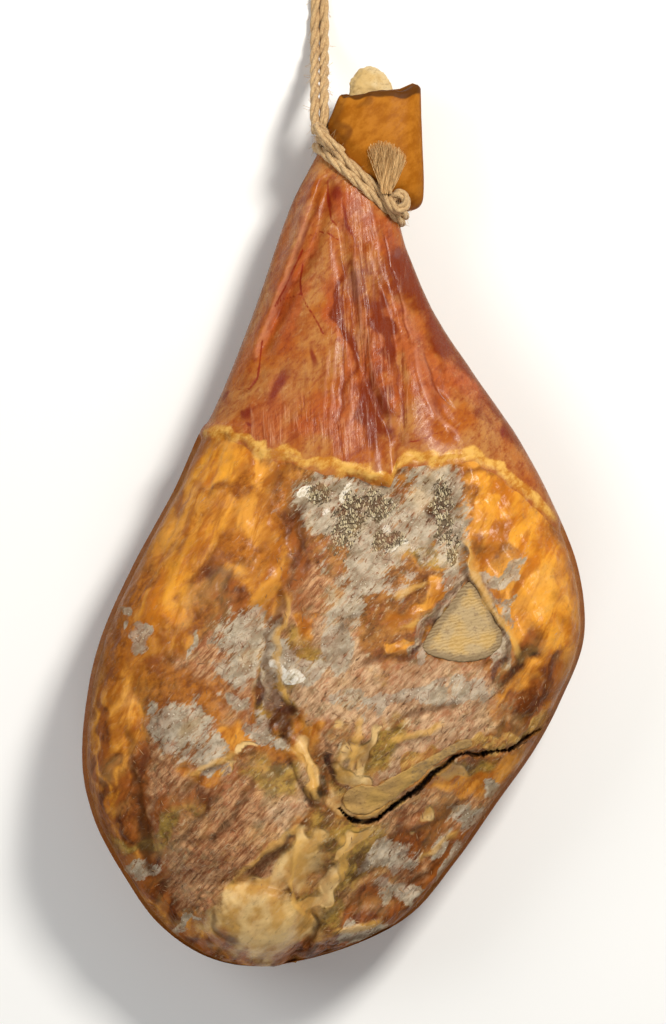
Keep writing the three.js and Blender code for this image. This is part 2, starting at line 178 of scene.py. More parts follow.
# %% Place the camera
PIXEL = 0.643 * MM
PICTURE = (666, 1024)
ORIGIN_PIXEL = (333.5, 515)  # where the frame's origin is seen
CAMERA_HEIGHT = 4.5
MIDDLE_HEIGHT = 0.07  # the ham's widest line, where the scale is exact
SENSOR = 36  # millimetres

camera_data = bpy.data.cameras.new("camera")
camera_data.sensor_fit = "VERTICAL"
camera_data.sensor_height = SENSOR
camera_data.lens = SENSOR * (CAMERA_HEIGHT - MIDDLE_HEIGHT) / (PICTURE[1] * PIXEL)
camera_data.clip_end = 100
camera = bpy.data.objects.new("camera", camera_data)
camera.location = (
    (PICTURE[0] / 2 - ORIGIN_PIXEL[0]) * PIXEL,
    (ORIGIN_PIXEL[1] - PICTURE[1] / 2) * PIXEL,
    CAMERA_HEIGHT,
)
bpy.context.scene.collection.objects.link(camera)
bpy.context.scene.camera = camera
bpy.context.scene.view_settings.view_transform = "Standard"
print("lens:", round(camera_data.lens), "mm")

# %% [markdown]
# ## The ham's form
#
# The surface is a loft: a section that changes as it travels from the hock to the rump. Each station below
# holds the two ends of a chord across the ham, the height of the underside and of the meat side, and how
# square the section is. A Catmull-Rom spline runs through the stations. The solid model is lofted from the
# same stations, only coarser, so this fine surface lies on it everywhere. All of it is in millimetres.

# %% Stations from hock to rump
RIND = 3  # thickness
ROPE = 6.5  # diameter
WIDEST = 0.45  # the height at which a section is widest, as a share of its whole height
STATIONS = np.array([
    # left x, y, right x, y, underside, meat side, squareness
    [2, 268, 56, 273, 28, 74, 3.4],
    [-1, 261, 57, 243, 25, 78, 3.2],
    [-4, 254, 58, 212, 25, 79, 3],
    [-5, 249, 55, 200, 26, 77, 2.6],
    [-8, 241, 42, 195, 29, 73, 2.1],
    [-13, 230, 43, 186, 28, 76, 2.1],
    [-29, 198, 49, 167, 23, 82, 2.1],
    [-49, 140, 65, 131, 16, 92, 2.1],
    [-67, 93, 89, 94, 9, 104, 2.2],
    [-80, 64, 110, 64, 5, 112, 2.2],
    [-87, 54, 121, 47, 3, 116, 2.3],
    [-104, 16, 139, 13, 1, 126, 2.4],
    [-130, -32, 157, -32, -2, 136, 2.5],
    [-151, -80, 161, -77, -3, 142, 2.5],
    [-160, -122, 147, -116, -3, 143, 2.5],
    [-162, -161, 129, -150, -1, 141, 2.4],
    [-154, -196, 105, -184, 5, 134, 2.3],
    [-136, -230, 79, -221, 14, 122, 2.2],
    [-113, -262, 48, -257, 29, 105, 2.1],
    [-82, -283, 3, -279, 48, 86, 2],
    [-46, -289, -46, -289, 67, 67, 2],
], float)
LAST = len(STATIONS) - 1


def station_at(place):
    """The stations' values at any place between them. Past the rump the outline turns back on itself."""
    after = STATIONS[-2][[2, 3, 0, 1, 5, 4, 6]]
    after[6] = STATIONS[-1][6]
    table = np.vstack([STATIONS[:1], STATIONS, [after]])
    start = np.clip(np.floor(place).astype(int), 0, LAST - 1)
    t = (place - start)[..., None]
    a, b, c, d = (table[start + k] for k in range(4))
    return 0.5 * (2 * b + (c - a) * t + (2 * a - 5 * b + 4 * c - d) * t**2 + (3 * b - a - 3 * c + d) * t**3)


widest = station_at(np.array([13.4]))[0]
print("width at the widest:", round(widest[2] - widest[0]), "mm")

# %% [markdown]
# Forms on the meat side are added to the loft as heights: a ridge or a groove follows a path and falls off
# to both sides of it, and a bulge is an oval cushion. Both are plain functions of x and y.

# %% Ridges, grooves and bulges
def path_distance(x, y, path):
    """The distance from each point to a line of straight stretches."""
    best = np.full(np.shape(x), 1e9)
    for (ax, ay), (bx, by) in zip(path, path[1:]):
        dx, dy = bx - ax, by - ay
        t = np.clip(((x - ax) * dx + (y - ay) * dy) / (dx * dx + dy * dy), 0, 1)
        best = np.minimum(best, np.hypot(x - ax - t * dx, y - ay - t * dy))
    return best


def oval_radius(x, y, at_x, at_y, along, across, degrees):
    """1 on the oval's rim, 0 at its middle."""
    c, s = math.cos(math.radians(degrees)), math.sin(math.radians(degrees))
    a = ((x - at_x) * c + (y - at_y) * s) / along
    b = ((y - at_y) * c - (x - at_x) * s) / across
    return np.hypot(a, b)


def smooth_line(points, count, closed=False):
    """A centripetal Catmull-Rom curve through points, as count evenly spaced ones.

    Each value is blended three times between its neighbours, over wider and wider spans of the knots.
    """
    blends = (((0, 1), (1, 2), (2, 3)), ((0, 2), (1, 3)), ((1, 2),))
    p = [np.array(q, float) for q in points]
    ends = ([p[-1]], p[:2]) if closed else ([2 * p[0] - p[1]], [2 * p[-1] - p[-2]])
    p = ends[0] + p + ends[1]
    found = []
    for k in range(1, len(p) - 2):
        q = p[k - 1:k + 3]
        knots = np.cumsum([0] + [np.linalg.norm(q[j + 1] - q[j]) ** 0.5 for j in range(3)])
        for t in np.linspace(knots[1], knots[2], 24, endpoint=False):
            row = q
            for spans in blends:
                row = [
                    (a * (knots[last] - t) + b * (t - knots[first])) / (knots[last] - knots[first])
                    for a, b, (first, last) in zip(row, row[1:], spans)
                ]
            found.append(row[0])
    found.append(p[-2])
    found = np.array(found)
    way = np.concatenate([[0], np.cumsum(np.linalg.norm(np.diff(found, axis=0), axis=1))])
    at = np.linspace(0, way[-1], count, endpoint=not closed)
    return np.column_stack([np.interp(at, way, found[:, axis]) for axis in range(found.shape[1])])


def ridge(path, width, rise):
    """A height that runs along a path and falls off to both sides, or a groove where rise is negative."""
    line = smooth_line(path, 40)
    return lambda x, y: rise * np.exp(-((path_distance(x, y, line) / width) ** 2))


def bulge(at_x, at_y, along, across, degrees, rise):
    """An oval cushion, or a hollow where rise is negative."""
    def height(x, y):
        inside = np.maximum(0, 1 - oval_radius(x, y, at_x, at_y, along, across, degrees) ** 2)
        return rise * inside * (2 - inside)
    return height


RIND_FORMS = [
    ridge([(-12, 216), (-23, 182), (-42, 138), (-60, 96)], 7, 6),  # tendon
    ridge([(-4, 212), (-12, 180), (-29, 145), (-45, 109)], 5, -6),  # furrow beside it
    ridge([(3, 186), (11, 138), (18, 93), (34, 55), (38, 25)], 4.5, -4),  # folds drawn by the rope
    ridge([(22, 170), (38, 119), (44, 74), (41, 48)], 4, -3),
    ridge([(46, 138), (62, 100), (72, 55)], 5, -2.5),
    ridge([(14, 164), (25, 113), (32, 68)], 5, 2.5),
    bulge(75, 78, 42, 48, 0, 4),
]
MEAT_FORMS = [
    ridge([(93, 26), (120, 10), (138, -23), (143, -68), (130, -113)], 18, 5),  # roll of fat
    ridge([(98, -28), (113, -58), (123, -90), (119, -112)], 8, -6),  # fold beside the hip bone
    bulge(27, -8, 58, 40, 0, -8),  # hollow below the rind's edge
    bulge(-86, -16, 52, 72, 0, 4),  # fat on the left
    bulge(52, -124, 74, 50, 20, 7),  # lobe over the hip bone
    bulge(62, -203, 78, 34, 38, -9),  # lower meat beyond the crack
    bulge(-70, -193, 50, 40, 0, 6),  # lobe of lean meat
    bulge(-49, -259, 36, 25, -8, 12),  # knuckle
    bulge(23, -266, 40, 18, 10, 5),
    ridge([(-40, -235), (-22, -215), (-6, -197)], 12, 3),  # sinew
    ridge([(-46, -64), (-37, -106), (-24, -141), (-10, -167), (2, -183)], 9, -6),  # seam
    ridge([(-34, -141), (-21, -161), (-9, -178)], 7, 5),  # fat along the seam
    ridge([(-10, -228), (-14, -251), (-22, -273), (-27, -286)], 7, -8),
    ridge([(-18, -266), (7, -257), (43, -248)], 6, -4),
    ridge([(-142, -87), (-150, -132), (-145, -177), (-128, -222), (-108, -251)], 8, 3),  # rim of fat
    ridge([(-124, -113), (-118, -158), (-124, -190), (-118, -222), (-100, -248)], 8, -5),
]
RELIEF_FADE = 0.22  # the forms die out over this share of the half width, towards the ham's rim
print("forms:", len(RIND_FORMS) + len(MEAT_FORMS))

# %% [markdown]
# A point of the skin has two coordinates: its place along the stations, and how far across the chord it
# lies, from -1 to 1, on the meat side or under it. Where the rind was trimmed off, the surface lies 3 mm
# lower, and the other set of forms is added.

# %% A point of the skin
def skin_point(place, across, top, bare=0.0, out=0.0):
    """Points of the skin in millimetres. bare is 1 where the rind is off, out moves the skin outwards."""
    place, across, top, bare = np.broadcast_arrays(np.asarray(place, float), across, top, bare)
    s = station_at(place)
    left, right, under, over, square = s[..., 0:2], s[..., 2:4], s[..., 4], s[..., 5], s[..., 6]
    half = (right - left) / 2
    half_width = np.maximum(np.linalg.norm(half, axis=-1), 1e-6)
    grow = (out - RIND * bare) * smooth_step(0, 40, half_width)
    middle = under + WIDEST * (over - under)
    reach = np.maximum(0, np.where(top, over - middle, middle - under) + grow)
    rise = reach * (1 - np.abs(across) ** square) ** (1 / square)
    xy = (left + right) / 2 + half * ((1 + grow / half_width) * across)[..., None]
    x, y = xy[..., 0], xy[..., 1]
    forms = sum(f(x, y) for f in RIND_FORMS) * (1 - bare) + sum(f(x, y) for f in MEAT_FORMS) * bare
    forms = forms * smooth_step(0, RELIEF_FADE, 1 - np.abs(across))
    return np.stack([x, y, middle + np.where(top, rise + forms, -rise)], axis=-1)


print("skin over the middle:", np.round(skin_point(13.0, 0.0, True, 1.0)), "mm")

# %% [markdown]
# The finer lines are listed one by one, because the eye knows them: the wrinkles in which the rope gathers
# the rind, the sinews and seams of the meat, the two dried membranes that fold round the sawn hip bone, and
# the knife's edge where the rind was cut back. They are lists of paths, and the same ridge as above later
# raises or sinks them.

# %% Wrinkles, seams, membranes and the cut edge of the rind
WRINKLES = [
    # path, width, rise: the skin drawn together below the knot
    ([(12, 184), (14.5, 151), (16, 119), (12, 87), (7, 44)], 1.3, 0.8),
    ([(16, 180), (19, 148), (21, 120), (19, 88), (17, 48)], 1.2, -0.8),
    ([(5, 176), (6, 132), (6, 92), (1, 50)], 1.4, -0.8),
    ([(1, 122), (-1, 78), (-3, 36)], 1.3, 0.6),
    ([(-4, 112), (-6, 74), (-8, 38)], 1.1, 0.5),
    ([(8, 96), (4, 60), (3, 34)], 1.1, -0.6),
    ([(11, 110), (11, 80), (10, 46)], 1.1, 0.6),
    ([(24, 202), (29, 165), (31, 138), (30, 104)], 1.3, 0.7),
    ([(22, 190), (25, 160), (26, 130), (24, 98)], 1.1, 0.6),
    ([(26, 132), (31, 104), (30, 90), (35, 70), (38, 40)], 1.4, 1.0),
    ([(22, 112), (25, 80), (27, 56), (26, 30)], 1.1, 0.7),
    ([(19, 100), (21, 70), (21, 40)], 1.1, 0.6),
    ([(36, 126), (40, 100), (42, 76), (47, 46)], 1.3, -0.9),
    ([(30, 190), (37, 158), (44, 132), (48, 102)], 1.3, -0.7),
    ([(34, 180), (41, 150), (47, 124), (50, 100)], 1.1, 0.5),
    ([(51, 118), (54, 93), (59, 78), (69, 61), (88, 46)], 2.4, 1.4),
    ([(57, 116), (60, 95), (65, 82), (80, 64)], 1.4, -1.0),
    ([(38, 194), (52, 164), (68, 132), (90, 94)], 1.6, 0.7),
    ([(42, 182), (56, 150), (76, 112)], 1.3, -0.6),
    ([(46, 178), (60, 148), (78, 116)], 1.1, 0.5),
    ([(-5, 214), (-12, 196), (-20, 178), (-30, 148), (-40, 118)], 2.0, -2.4),
    ([(-13, 212), (-23, 176), (-38, 134), (-54, 94)], 4.2, 2.0),
    ([(-68, 74), (-52, 84), (-42, 100)], 1.4, -0.7),
]
MEAT_LINES = [
    # path, width, rise: sinews stand up, seams and shrunken folds lie deep
    ([(-30, -139), (-17, -159), (-11, -177), (-5, -184)], 3.0, 3.0),
    ([(-35, -143), (-23, -163), (-15, -182), (-8, -190)], 2.6, -3.0),
    ([(17, -118), (15, -137), (11, -159), (11, -173)], 3.4, 3.0),
    ([(22, -134), (20, -150), (17, -166)], 3.2, -2.2),
    ([(1, -146), (-1, -162), (2, -178)], 3.2, -2.6),
    ([(-17, -190), (-40, -210), (-60, -228), (-76, -242)], 2.6, 2.4),
    ([(-20, -196), (-25, -220), (-27, -242), (-14, -261)], 2.8, 2.0),
    ([(-22, -200), (-44, -220), (-60, -238)], 5.0, -2.0),
    ([(-78, -244), (-74, -264), (-54, -277)], 2.8, -1.8),
    ([(-17, -246), (-11, -261), (-23, -282)], 2.4, -4.0),
    ([(-8, -267), (14, -263), (39, -258)], 3.2, 2.6),
    ([(-6, -273), (16, -269), (42, -264)], 2.4, -2.6),
    ([(-2, -196), (6, -210), (4, -226), (-6, -240)], 4.0, 2.4),
    ([(14, -204), (18, -222), (8, -240)], 3.6, -2.2),
    ([(-131, -128), (-129, -152), (-122, -199), (-116, -238)], 3.6, -2.2),
    ([(85, -7), (88, -33), (99, -58), (114, -76), (117, -97)], 3.6, 3.4),
    ([(80, -10), (83, -34), (94, -60), (108, -76), (112, -98)], 2.4, -2.4),
    ([(49, -88), (60, -68), (72, -50), (85, -38)], 2.2, -3.0),
    ([(31, -54), (47, -47), (66, -37)], 2.8, 2.4),
    ([(36, -74), (52, -66), (60, -58)], 2.4, 1.8),
    ([(-41, -40), (-33, -51), (-43, -78), (-41, -100), (-33, -127)], 3.4, -2.4),
    ([(-36, -44), (-29, -54), (-37, -80), (-35, -102), (-28, -126)], 2.8, 1.0),
    ([(-62, -152), (-86, -166), (-104, -184)], 2.8, -2.4),
    ([(-54, -146), (-80, -158), (-98, -168)], 2.8, 1.8),
    ([(-48, -158), (-60, -184), (-84, -214)], 2.6, -1.8),
    ([(-66, -168), (-88, -194), (-104, -214)], 2.6, -1.8),
    ([(40, -204), (62, -196), (88, -176)], 3.0, -2.0),
    ([(48, -224), (66, -212), (86, -196)], 3.0, 1.8),
    ([(36, -238), (54, -232), (70, -222)], 2.6, -2.0),
    ([(58, -246), (74, -236), (90, -214), (104, -194)], 3.6, 2.2),
    ([(36, -128), (60, -122), (88, -116)], 3.0, -1.4),
    ([(28, -142), (52, -138), (76, -128)], 3.0, 1.4),
    ([(10, -96), (34, -88), (58, -92)], 2.8, -1.6),
    ([(-4, -78), (8, -66), (22, -60)], 2.6, -1.6),
    ([(-18, 16), (-22, -6), (-16, -30)], 3.2, -1.8),
]
MEMBRANES = [  # folded round the sawn hip bone
    ([(85, -34), (76, -47), (66, -60), (55, -70), (50, -87)], 3.4, 1.7),
    ([(87, -36), (99, -55), (107, -74), (109, -94)], 3.6, 1.9),
]
RIND_EDGE = np.array([
    (-92, 54), (-76, 54), (-60, 50), (-46, 42), (-2, 32), (36, 24), (40, 35), (68, 38), (91, 38), (107, 30),
    (126, 12), (146, -3),
])


def rind_edge_y(x):
    """The cut edge of the rind, a knife's line with a hand's wobble."""
    wobble = 0.9 * np.sin(x / 6.1) + 0.5 * np.sin(x / 2.3 + 1)
    return np.interp(x, RIND_EDGE[:, 0], RIND_EDGE[:, 1]) + wobble


print("lines:", len(WRINKLES), "on the rind,", len(MEAT_LINES), "on the meat")

# %% [markdown]
# ## The ham's mesh
#
# The mesh is a net of rows and columns on that skin. The rows above the cut edge of the rind are spaced
# between the hock and the edge, and the others between the edge and the rump, so the edge is a clean line
# of points. Four rows close together round the rind's cut lip. The columns are dense over the meat side,
# which shows every crag, and sparse underneath.

# %% Rows and columns
TOP_COLUMNS, BACK_COLUMNS, ROWS = ((226, 40, 330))
RIM = 0.9995  # the meat side's outermost column, just short of the rim that both sides share
LIP = [(-0.05, 0.0), (0.0, 0.2), (0.06, 0.6), (0.14, 1.0)]  # stations past the edge, and bareness
NEXT_ROW = 0.02  # stations from the lip to the rows before and after it
LAST_ROW = 0.04  # stations that the last row stays short of the rump
PACE = 14  # millimetres that a station counts for, on top of the way to it

samples = station_at(np.linspace(0, LAST, 20 * LAST + 1))
steps = [np.linalg.norm(np.diff(samples[:, k:k + 2], axis=0), axis=1) for k in (0, 2)]
paces = np.concatenate([[0], np.cumsum((steps[0] + steps[1]) / 2 + PACE / 20)])
pace_of = partial(np.interp, xp=np.linspace(0, LAST, 20 * LAST + 1), fp=paces)
place_of = partial(np.interp, xp=paces, fp=np.linspace(0, LAST, 20 * LAST + 1))


def spread(count, evenness):
    """Places from -1 to 1, closer together at both ends, where the skin turns over."""
    t = np.linspace(-1, 1, count + 1)
    return (1 - evenness) * np.sin(t * math.pi / 2) + evenness * t


def edge_places(across):
    """Where each column of the meat side crosses the rind's cut edge, found by halving."""
    low, high = np.full(len(across), 6.0), np.full(len(across), 14.0)
    for _ in range(16):
        middle = (low + high) / 2
        p = skin_point(middle, across, True)
        above = p[:, 1] > rind_edge_y(p[:, 0])
        low, high = np.where(above, middle, low), np.where(above, high, middle)
    return low


top_across = np.clip(spread(TOP_COLUMNS, 0.5), -RIM, RIM)
back_across = spread(BACK_COLUMNS, 0)[::-1]
across = np.concatenate([top_across, back_across])
is_top = np.arange(len(across)) <= TOP_COLUMNS
edges = edge_places(top_across)
edges = np.concatenate([edges, np.interp(back_across, [-1, 1], [edges[0], edges[-1]])])
print("columns:", len(across), "rows:", ROWS)

# %% Weave the net
def rows_between(count, start, end):
    """Rows of places from one line of stations to another, evenly spaced by pace."""
    shares = np.linspace(0, 1, count)
    return [place_of(pace_of(start) * (1 - share) + pace_of(end) * share) for share in shares]


def ham_net():
    """The skin's points in rows and columns, and how bare of rind each one is."""
    rind_rows = round(ROWS * float(pace_of(edges.mean()) / paces[-1]))
    hock, rump = np.zeros(len(across)), np.full(len(across), LAST - LAST_ROW)
    before = rows_between(rind_rows, hock, edges + LIP[0][0] - NEXT_ROW)
    lip = [edges + shift for shift, _ in LIP]
    after = rows_between(ROWS - rind_rows, edges + LIP[-1][0] + NEXT_ROW, rump)
    bareness = [0.0] * len(before) + [amount for _, amount in LIP] + [1.0] * len(after)
    bare = np.outer(bareness, is_top)
    return skin_point(np.array(before + lip + after), across, is_top, bare), bare


CAP_BULGE = 3.2
CAP = [(0.5, CAP_BULGE), (0.2, 2.8), (0.07, 1.8), (0.02, 0.8)]  # share of the way inwards, and the bulge
points, bare = ham_net()
hock_centre = points[0].mean(axis=0)
caps = [points[0] + (hock_centre - points[0]) * inward + [0, out, 0] for inward, out in CAP]
points = np.concatenate([caps, points])
bare = np.concatenate([np.zeros((len(caps), len(across))), bare])
rump = skin_point(float(LAST), 0.0, True, 1.0)
row_count, column_count = bare.shape
net = np.concatenate([[hock_centre + [0, CAP_BULGE, 0]], points.reshape(-1, 3), [rump]])
meat = np.concatenate([[0], bare.ravel(), [1]])
on_top = np.concatenate([[0], np.tile(is_top, row_count), [1]])
rim = np.concatenate([[0], np.tile(np.abs(across), row_count), [1]])

index = 1 + np.arange(row_count * column_count).reshape(row_count, column_count)
following = np.roll(index, -1, axis=1)
quads = np.stack([index[:-1], index[1:], following[1:], following[:-1]], axis=-1).reshape(-1, 4).tolist()
fans = [[0, int(a), int(b)] for a, b in zip(index[0], following[0])]
fans += [[int(a), len(net) - 1, int(b)] for a, b in zip(index[-1], following[-1])]

cad_low, cad_high = (np.array(corner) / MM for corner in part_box("ham"))
SHIFT = np.append(((cad_low + cad_high) / 2 - (net.min(axis=0) + net.max(axis=0)) / 2)[:2], 0)
print("the frame's origin lies", np.round(-SHIFT, 2), "mm from the stations' one")

# %% [markdown]
# ## What lies where
#
# A cured ham is a map: smooth fat, dried lean, pale sinew, grey mould bloom. We draw the map as ovals, in
# millimetres, and store one number for each finish at every point: 1 inside, one half on the rim of an
# oval, 0 well outside. The material later adds a fine noise to that number before it cuts it at one half,
# so every patch gets the ragged edge that real mould and fat have, finer than the mesh.
#
# A roll is the yellow fat of the rim, a chip is a white crystal, the ledge is gristle above the crack.
# Blush and flush are the red of the meat that shows through the rind, and where the rind is crinkled the
# rope has drawn it into fine folds.

# %% The map of finishes
OVALS = {
    # x, y, half length, half width, turn in degrees
    "fat": [
        (-76, 29, 45, 24, 0), (-83, -3, 51, 39, 65), (-108, -48, 45, 27, 62), (-50, -29, 26, 39, 0),
        (-128, -87, 39, 19, 75), (-137, -132, 32, 17, 85), (-147, -164, 45, 13, 95),
        (-132, -215, 35, 10, 118), (-112, -257, 26, 8, 135), (107, 23, 39, 15, -25),
        (133, -10, 40, 26, -60), (146, -61, 48, 21, -88), (117, -48, 45, 24, -65),
        (107, -10, 29, 23, -60), (136, -106, 26, 17, 70), (107, -119, 13, 10, 20),
        (59, -26, 17, 10, -10), (62, -48, 29, 5, 30), (46, -74, 17, 5, 15), (-18, -131, 19, 13, -10),
        (33, -174, 26, 6, 20), (88, -164, 39, 9, 8), (126, -154, 19, 8, 20), (59, -257, 24, 10, 55),
        (81, -235, 19, 6, 55), (-63, -141, 19, 9, 15), (-83, -164, 14, 8, 0), (-31, -276, 26, 10, 20),
        (-76, -270, 29, 9, -30), (-15, -61, 10, 6, 0),
    ],
    "cream": [
        (-46, -257, 33, 23, -5), (-36, -232, 32, 12, 46), (-52, -238, 24, 12, 28), (-22, -212, 17, 6, 50),
        (-25, -148, 10, 6, -60), (-14, -167, 17, 4, -62), (15, -141, 17, 5, 75), (12, -164, 9, 6, 0),
        (7, -206, 18, 5, 35), (-9, -235, 18, 6, 55), (40, -186, 6, 5, 0), (56, -193, 5, 5, 0),
        (-65, -159, 9, 3, 30), (20, -180, 17, 8, 15), (-54, -148, 8, 3, 10), (75, -163, 14, 5, 8),
    ],
    "mould": [
        (-4, 10, 24, 19, -10), (25, 0, 27, 23, 0), (61, 11, 19, 26, 10), (76, -19, 14, 23, -15),
        (20, -32, 22, 21, 0), (43, -16, 17, 14, 0), (7, -58, 13, 17, 20), (1, -87, 8, 19, 15),
        (-22, -92, 16, 11, 0), (-57, -78, 16, 18, 60), (-58, -96, 13, 13, 0), (-100, -129, 17, 17, -40),
        (-83, -151, 19, 9, -20), (-60, -119, 8, 6, 0), (-44, -135, 9, 10, 0), (-126, -84, 5, 12, 10),
        (-132, -62, 4, 8, 10), (-92, -75, 3, 9, -20), (-38, -96, 6, 26, 5), (86, -188, 13, 10, 30),
        (68, -209, 10, 6, 35), (43, -238, 12, 6, 30), (20, -267, 18, 5, 15), (107, -170, 6, 5, 0),
        (78, -225, 17, 6, 55), (93, -45, 26, 5, 40), (106, -69, 5, 22, -12), (61, -84, 5, 10, 10),
        (52, -113, 45, 6, 5), (-31, -80, 9, 10, 0), (33, -219, 17, 8, 30), (-128, -228, 4, 19, 115),
        (-99, -264, 4, 23, 130),
    ],
    "pink": [
        (49, -113, 58, 23, 0), (4, -113, 32, 22, 0), (75, -129, 39, 19, 15), (-22, -100, 26, 23, 0),
        (40, -145, 39, 19, 20), (1, -80, 17, 26, 10), (-28, -177, 19, 19, 0),
    ],
    "lean": [
        (-99, -183, 26, 26, 0), (-86, -212, 39, 30, 45), (-47, -183, 32, 26, 20),
        (-105, -228, 26, 17, -50), (-67, -119, 32, 26, 0), (-76, -93, 26, 26, 0),
        (-118, -158, 19, 32, 0), (-60, -215, 26, 26, 45), (43, -215, 51, 39, 40),
        (75, -183, 39, 26, 20), (11, -267, 39, 17, 20), (-22, -55, 22, 32, 10), (-28, -23, 13, 26, -10),
        (17, -145, 26, 26, 0), (7, -235, 26, 26, 0), (133, -132, 26, 17, 60),
    ],
    # painted shade: dark patches laid in the grooves and hollows beside the seams and folds
    "dark": [
        (119, -90, 5, 11, -10), (-44, -113, 4, 11, 0), (-34, -124, 4, 13, 0), (2, -160, 4, 12, 20),
        (-2, -178, 3, 9, 30), (63, 6, 4, 8, 0), (70, -60, 3, 12, -42), (52, -80, 3, 9, -30),
        (104, -93, 2.5, 9, -20),
    ],
    # real brown meat and fat, and painted shade in the strips along the ham's rim, mostly at the lower left
    "brown": [
        (133, -141, 19, 10, 40), (-122, -177, 10, 34, 6), (-122, -209, 10, 32, 18), (-112, -248, 12, 30, 40),
        (-138, -222, 10, 34, 26), (-96, -266, 30, 9, -34), (-152, -180, 4, 40, 6),
        (60, -262, 34, 7, 34),
        (-95, -186, 22, 10, 30), (-137, -183, 5, 24, 0), (27, -151, 10, 8, 0), (118, -128, 20, 8, 45),
        (-60, -276, 40, 8, -14), (0, -278, 40, 10, 12), (-146, -140, 4, 40, 4), (126, -118, 14, 8, 60),
        (123, -80, 16, 8, 62), (140, -100, 7, 14, -30), (52, -204, 34, 11, 40), (84, -206, 22, 8, 45),
        (64, 4, 9, 16, 0), (-22, -18, 8, 34, 4), (-66, -48, 9, 22, 10), (70, -225, 36, 14, 42),
        (20, -256, 30, 12, 14),
    ],
    "roll": [
        (128, -22, 46, 17, -62), (142, -62, 34, 11, -88), (108, 14, 26, 9, -28), (-66, 34, 22, 8, 20),
        (-90, -24, 34, 9, 60), (-146, -150, 44, 4.5, 97), (-138, -206, 30, 4, 112), (-112, -60, 24, 6, 64),
    ],
    "chip": [(-16, 17, 6, 5, 0), (43, -15, 7, 7, 0), (5, 14, 5, 4, 0), (-30, -97, 7, 3, 10)],
    "ledge": [
        (36, -176, 16, 4, 42), (60, -158, 15, 4, 36), (82, -145, 14, 4, 14), (106, -143, 14, 4, 8),
        (16, -178, 10, 5, 0), (124, -136, 10, 4, 30),
    ],
    "amber": [
        (100, -20, 11, 8, -30), (89, 14, 4, 16, 0), (146, -119, 19, 15, 60), (150, -30, 4, 40, 4),
        (88, 29, 26, 5, -10), (-38, -132, 17, 19, 0), (-95, -113, 19, 32, 70), (-118, -48, 17, 28, 70),
        (-86, -55, 19, 10, 60), (-140, -87, 32, 8, 85), (-67, 23, 10, 19, 60), (-60, -16, 9, 23, 60),
        (49, 32, 19, 5, -5), (7, 30, 32, 3, -12), (-22, -270, 14, 9, 20),
        (-28, -113, 8, 10, 0), (-34, 0, 5, 39, 5),
    ],
    "olive": [
        (59, -26, 15, 9, -10), (27, -145, 22, 15, 20), (-22, -80, 13, 15, 0), (-38, -113, 9, 26, 0),
        (11, -215, 26, 26, 30), (-41, -164, 13, 10, 0), (-9, -248, 17, 19, 0), (-118, -203, 5, 32, -60),
        (88, -158, 26, 5, 10), (75, -55, 32, 6, 30),
    ],
    "bruise": [
        (3, 208, 3.5, 5, 0), (-2, 202, 2, 6, 10), (-14, 103, 1.6, 6, -4), (-60, 67, 2.2, 2.2, 30),
        (-56, 60, 3, 1.0, -20), (-36, 84, 2.4, 13, -28), (-57, 66, 5, 3, 20), (107, 53, 1.6, 3, 0),
        (10, 188, 1.2, 12, 12), (-70, 77, 1.2, 4, -30),
    ],
    # a real dark spot and stains, and painted shade in the long strip down the hock's left edge
    "stain": [(20, 267, 4.5, 3.5, 10), (0, 244, 4, 26, 6), (46, 206, 10, 3, -10)],
    "cracked": [
        (9, -1, 12, 21, -15), (27, 6, 17, 10, -20), (68, 6, 7, 24, 4), (-9, 17, 8, 7, 0),
        (76, -20, 6, 12, -10), (36, -16, 12, 7, 30),
    ],
    "blush": [
        (4, 128, 7, 52, 4), (10, 196, 10, 18, 10), (26, 100, 12, 46, 6), (40, 120, 12, 30, 30),
        (8, 60, 22, 20, 0), (58, 96, 14, 30, 40), (-42, 72, 7, 14, -25), (-56, 60, 10, 5, 0),
        (-38, 66, 18, 18, 0), (30, 178, 10, 26, 22), (-30, 150, 6, 46, -22), (80, 84, 20, 8, -50),
        (-8, 52, 24, 8, 0), (-26, 130, 8, 30, -20),
    ],
    "flush": [
        (48, 160, 22, 15, -24), (60, 146, 17, 15, -40), (68, 122, 28, 8, -52), (92, 88, 28, 7, -52),
        (27, 66, 5, 22, 0), (9, 122, 3, 34, 4), (30, 120, 4, 30, 4), (108, 60, 18, 6, -50),
    ],
    "crinkled": [
        (16, 140, 7, 50, 3), (24, 82, 8, 34, 0), (-36, 62, 26, 12, 8), (0, 54, 28, 12, 0),
        (43, 76, 6, 28, -5), (50, 150, 4, 16, -24),
    ],
    "mauve": [(16, 152, 5, 13, 8), (40, 172, 7, 6, -30)],
}
VEINS = [
    [(-15, 181), (-9, 183), (-2, 181), (5, 176)],
    [(-38, 135), (-33, 140), (-27, 141), (-21, 143), (-18, 136), (-14, 130), (-10, 123), (-7, 117)],
    [(-21, 143), (-22, 151), (-20, 163)],
    [(-4, 217), (-4, 203), (-2, 191), (3, 185)],
    [(-20, 172), (-30, 150), (-38, 135)],
    [(-61, 82), (-54, 82), (-49, 89), (-46, 113)],
    [(49, 48), (58, 50), (67, 54)],
]


def waves(x, y, size, seed):
    """A soft random pattern, mostly between -1 and 1, with waves about this many millimetres long."""
    random = np.random.default_rng(seed)
    total = np.zeros_like(x)
    for _ in range(9):
        turn, phase = random.uniform(0, math.tau, 2)
        length = size * random.uniform(0.6, 1.6)
        total += np.sin((x * math.cos(turn) + y * math.sin(turn)) * math.tau / length + phase)
    return total / 3


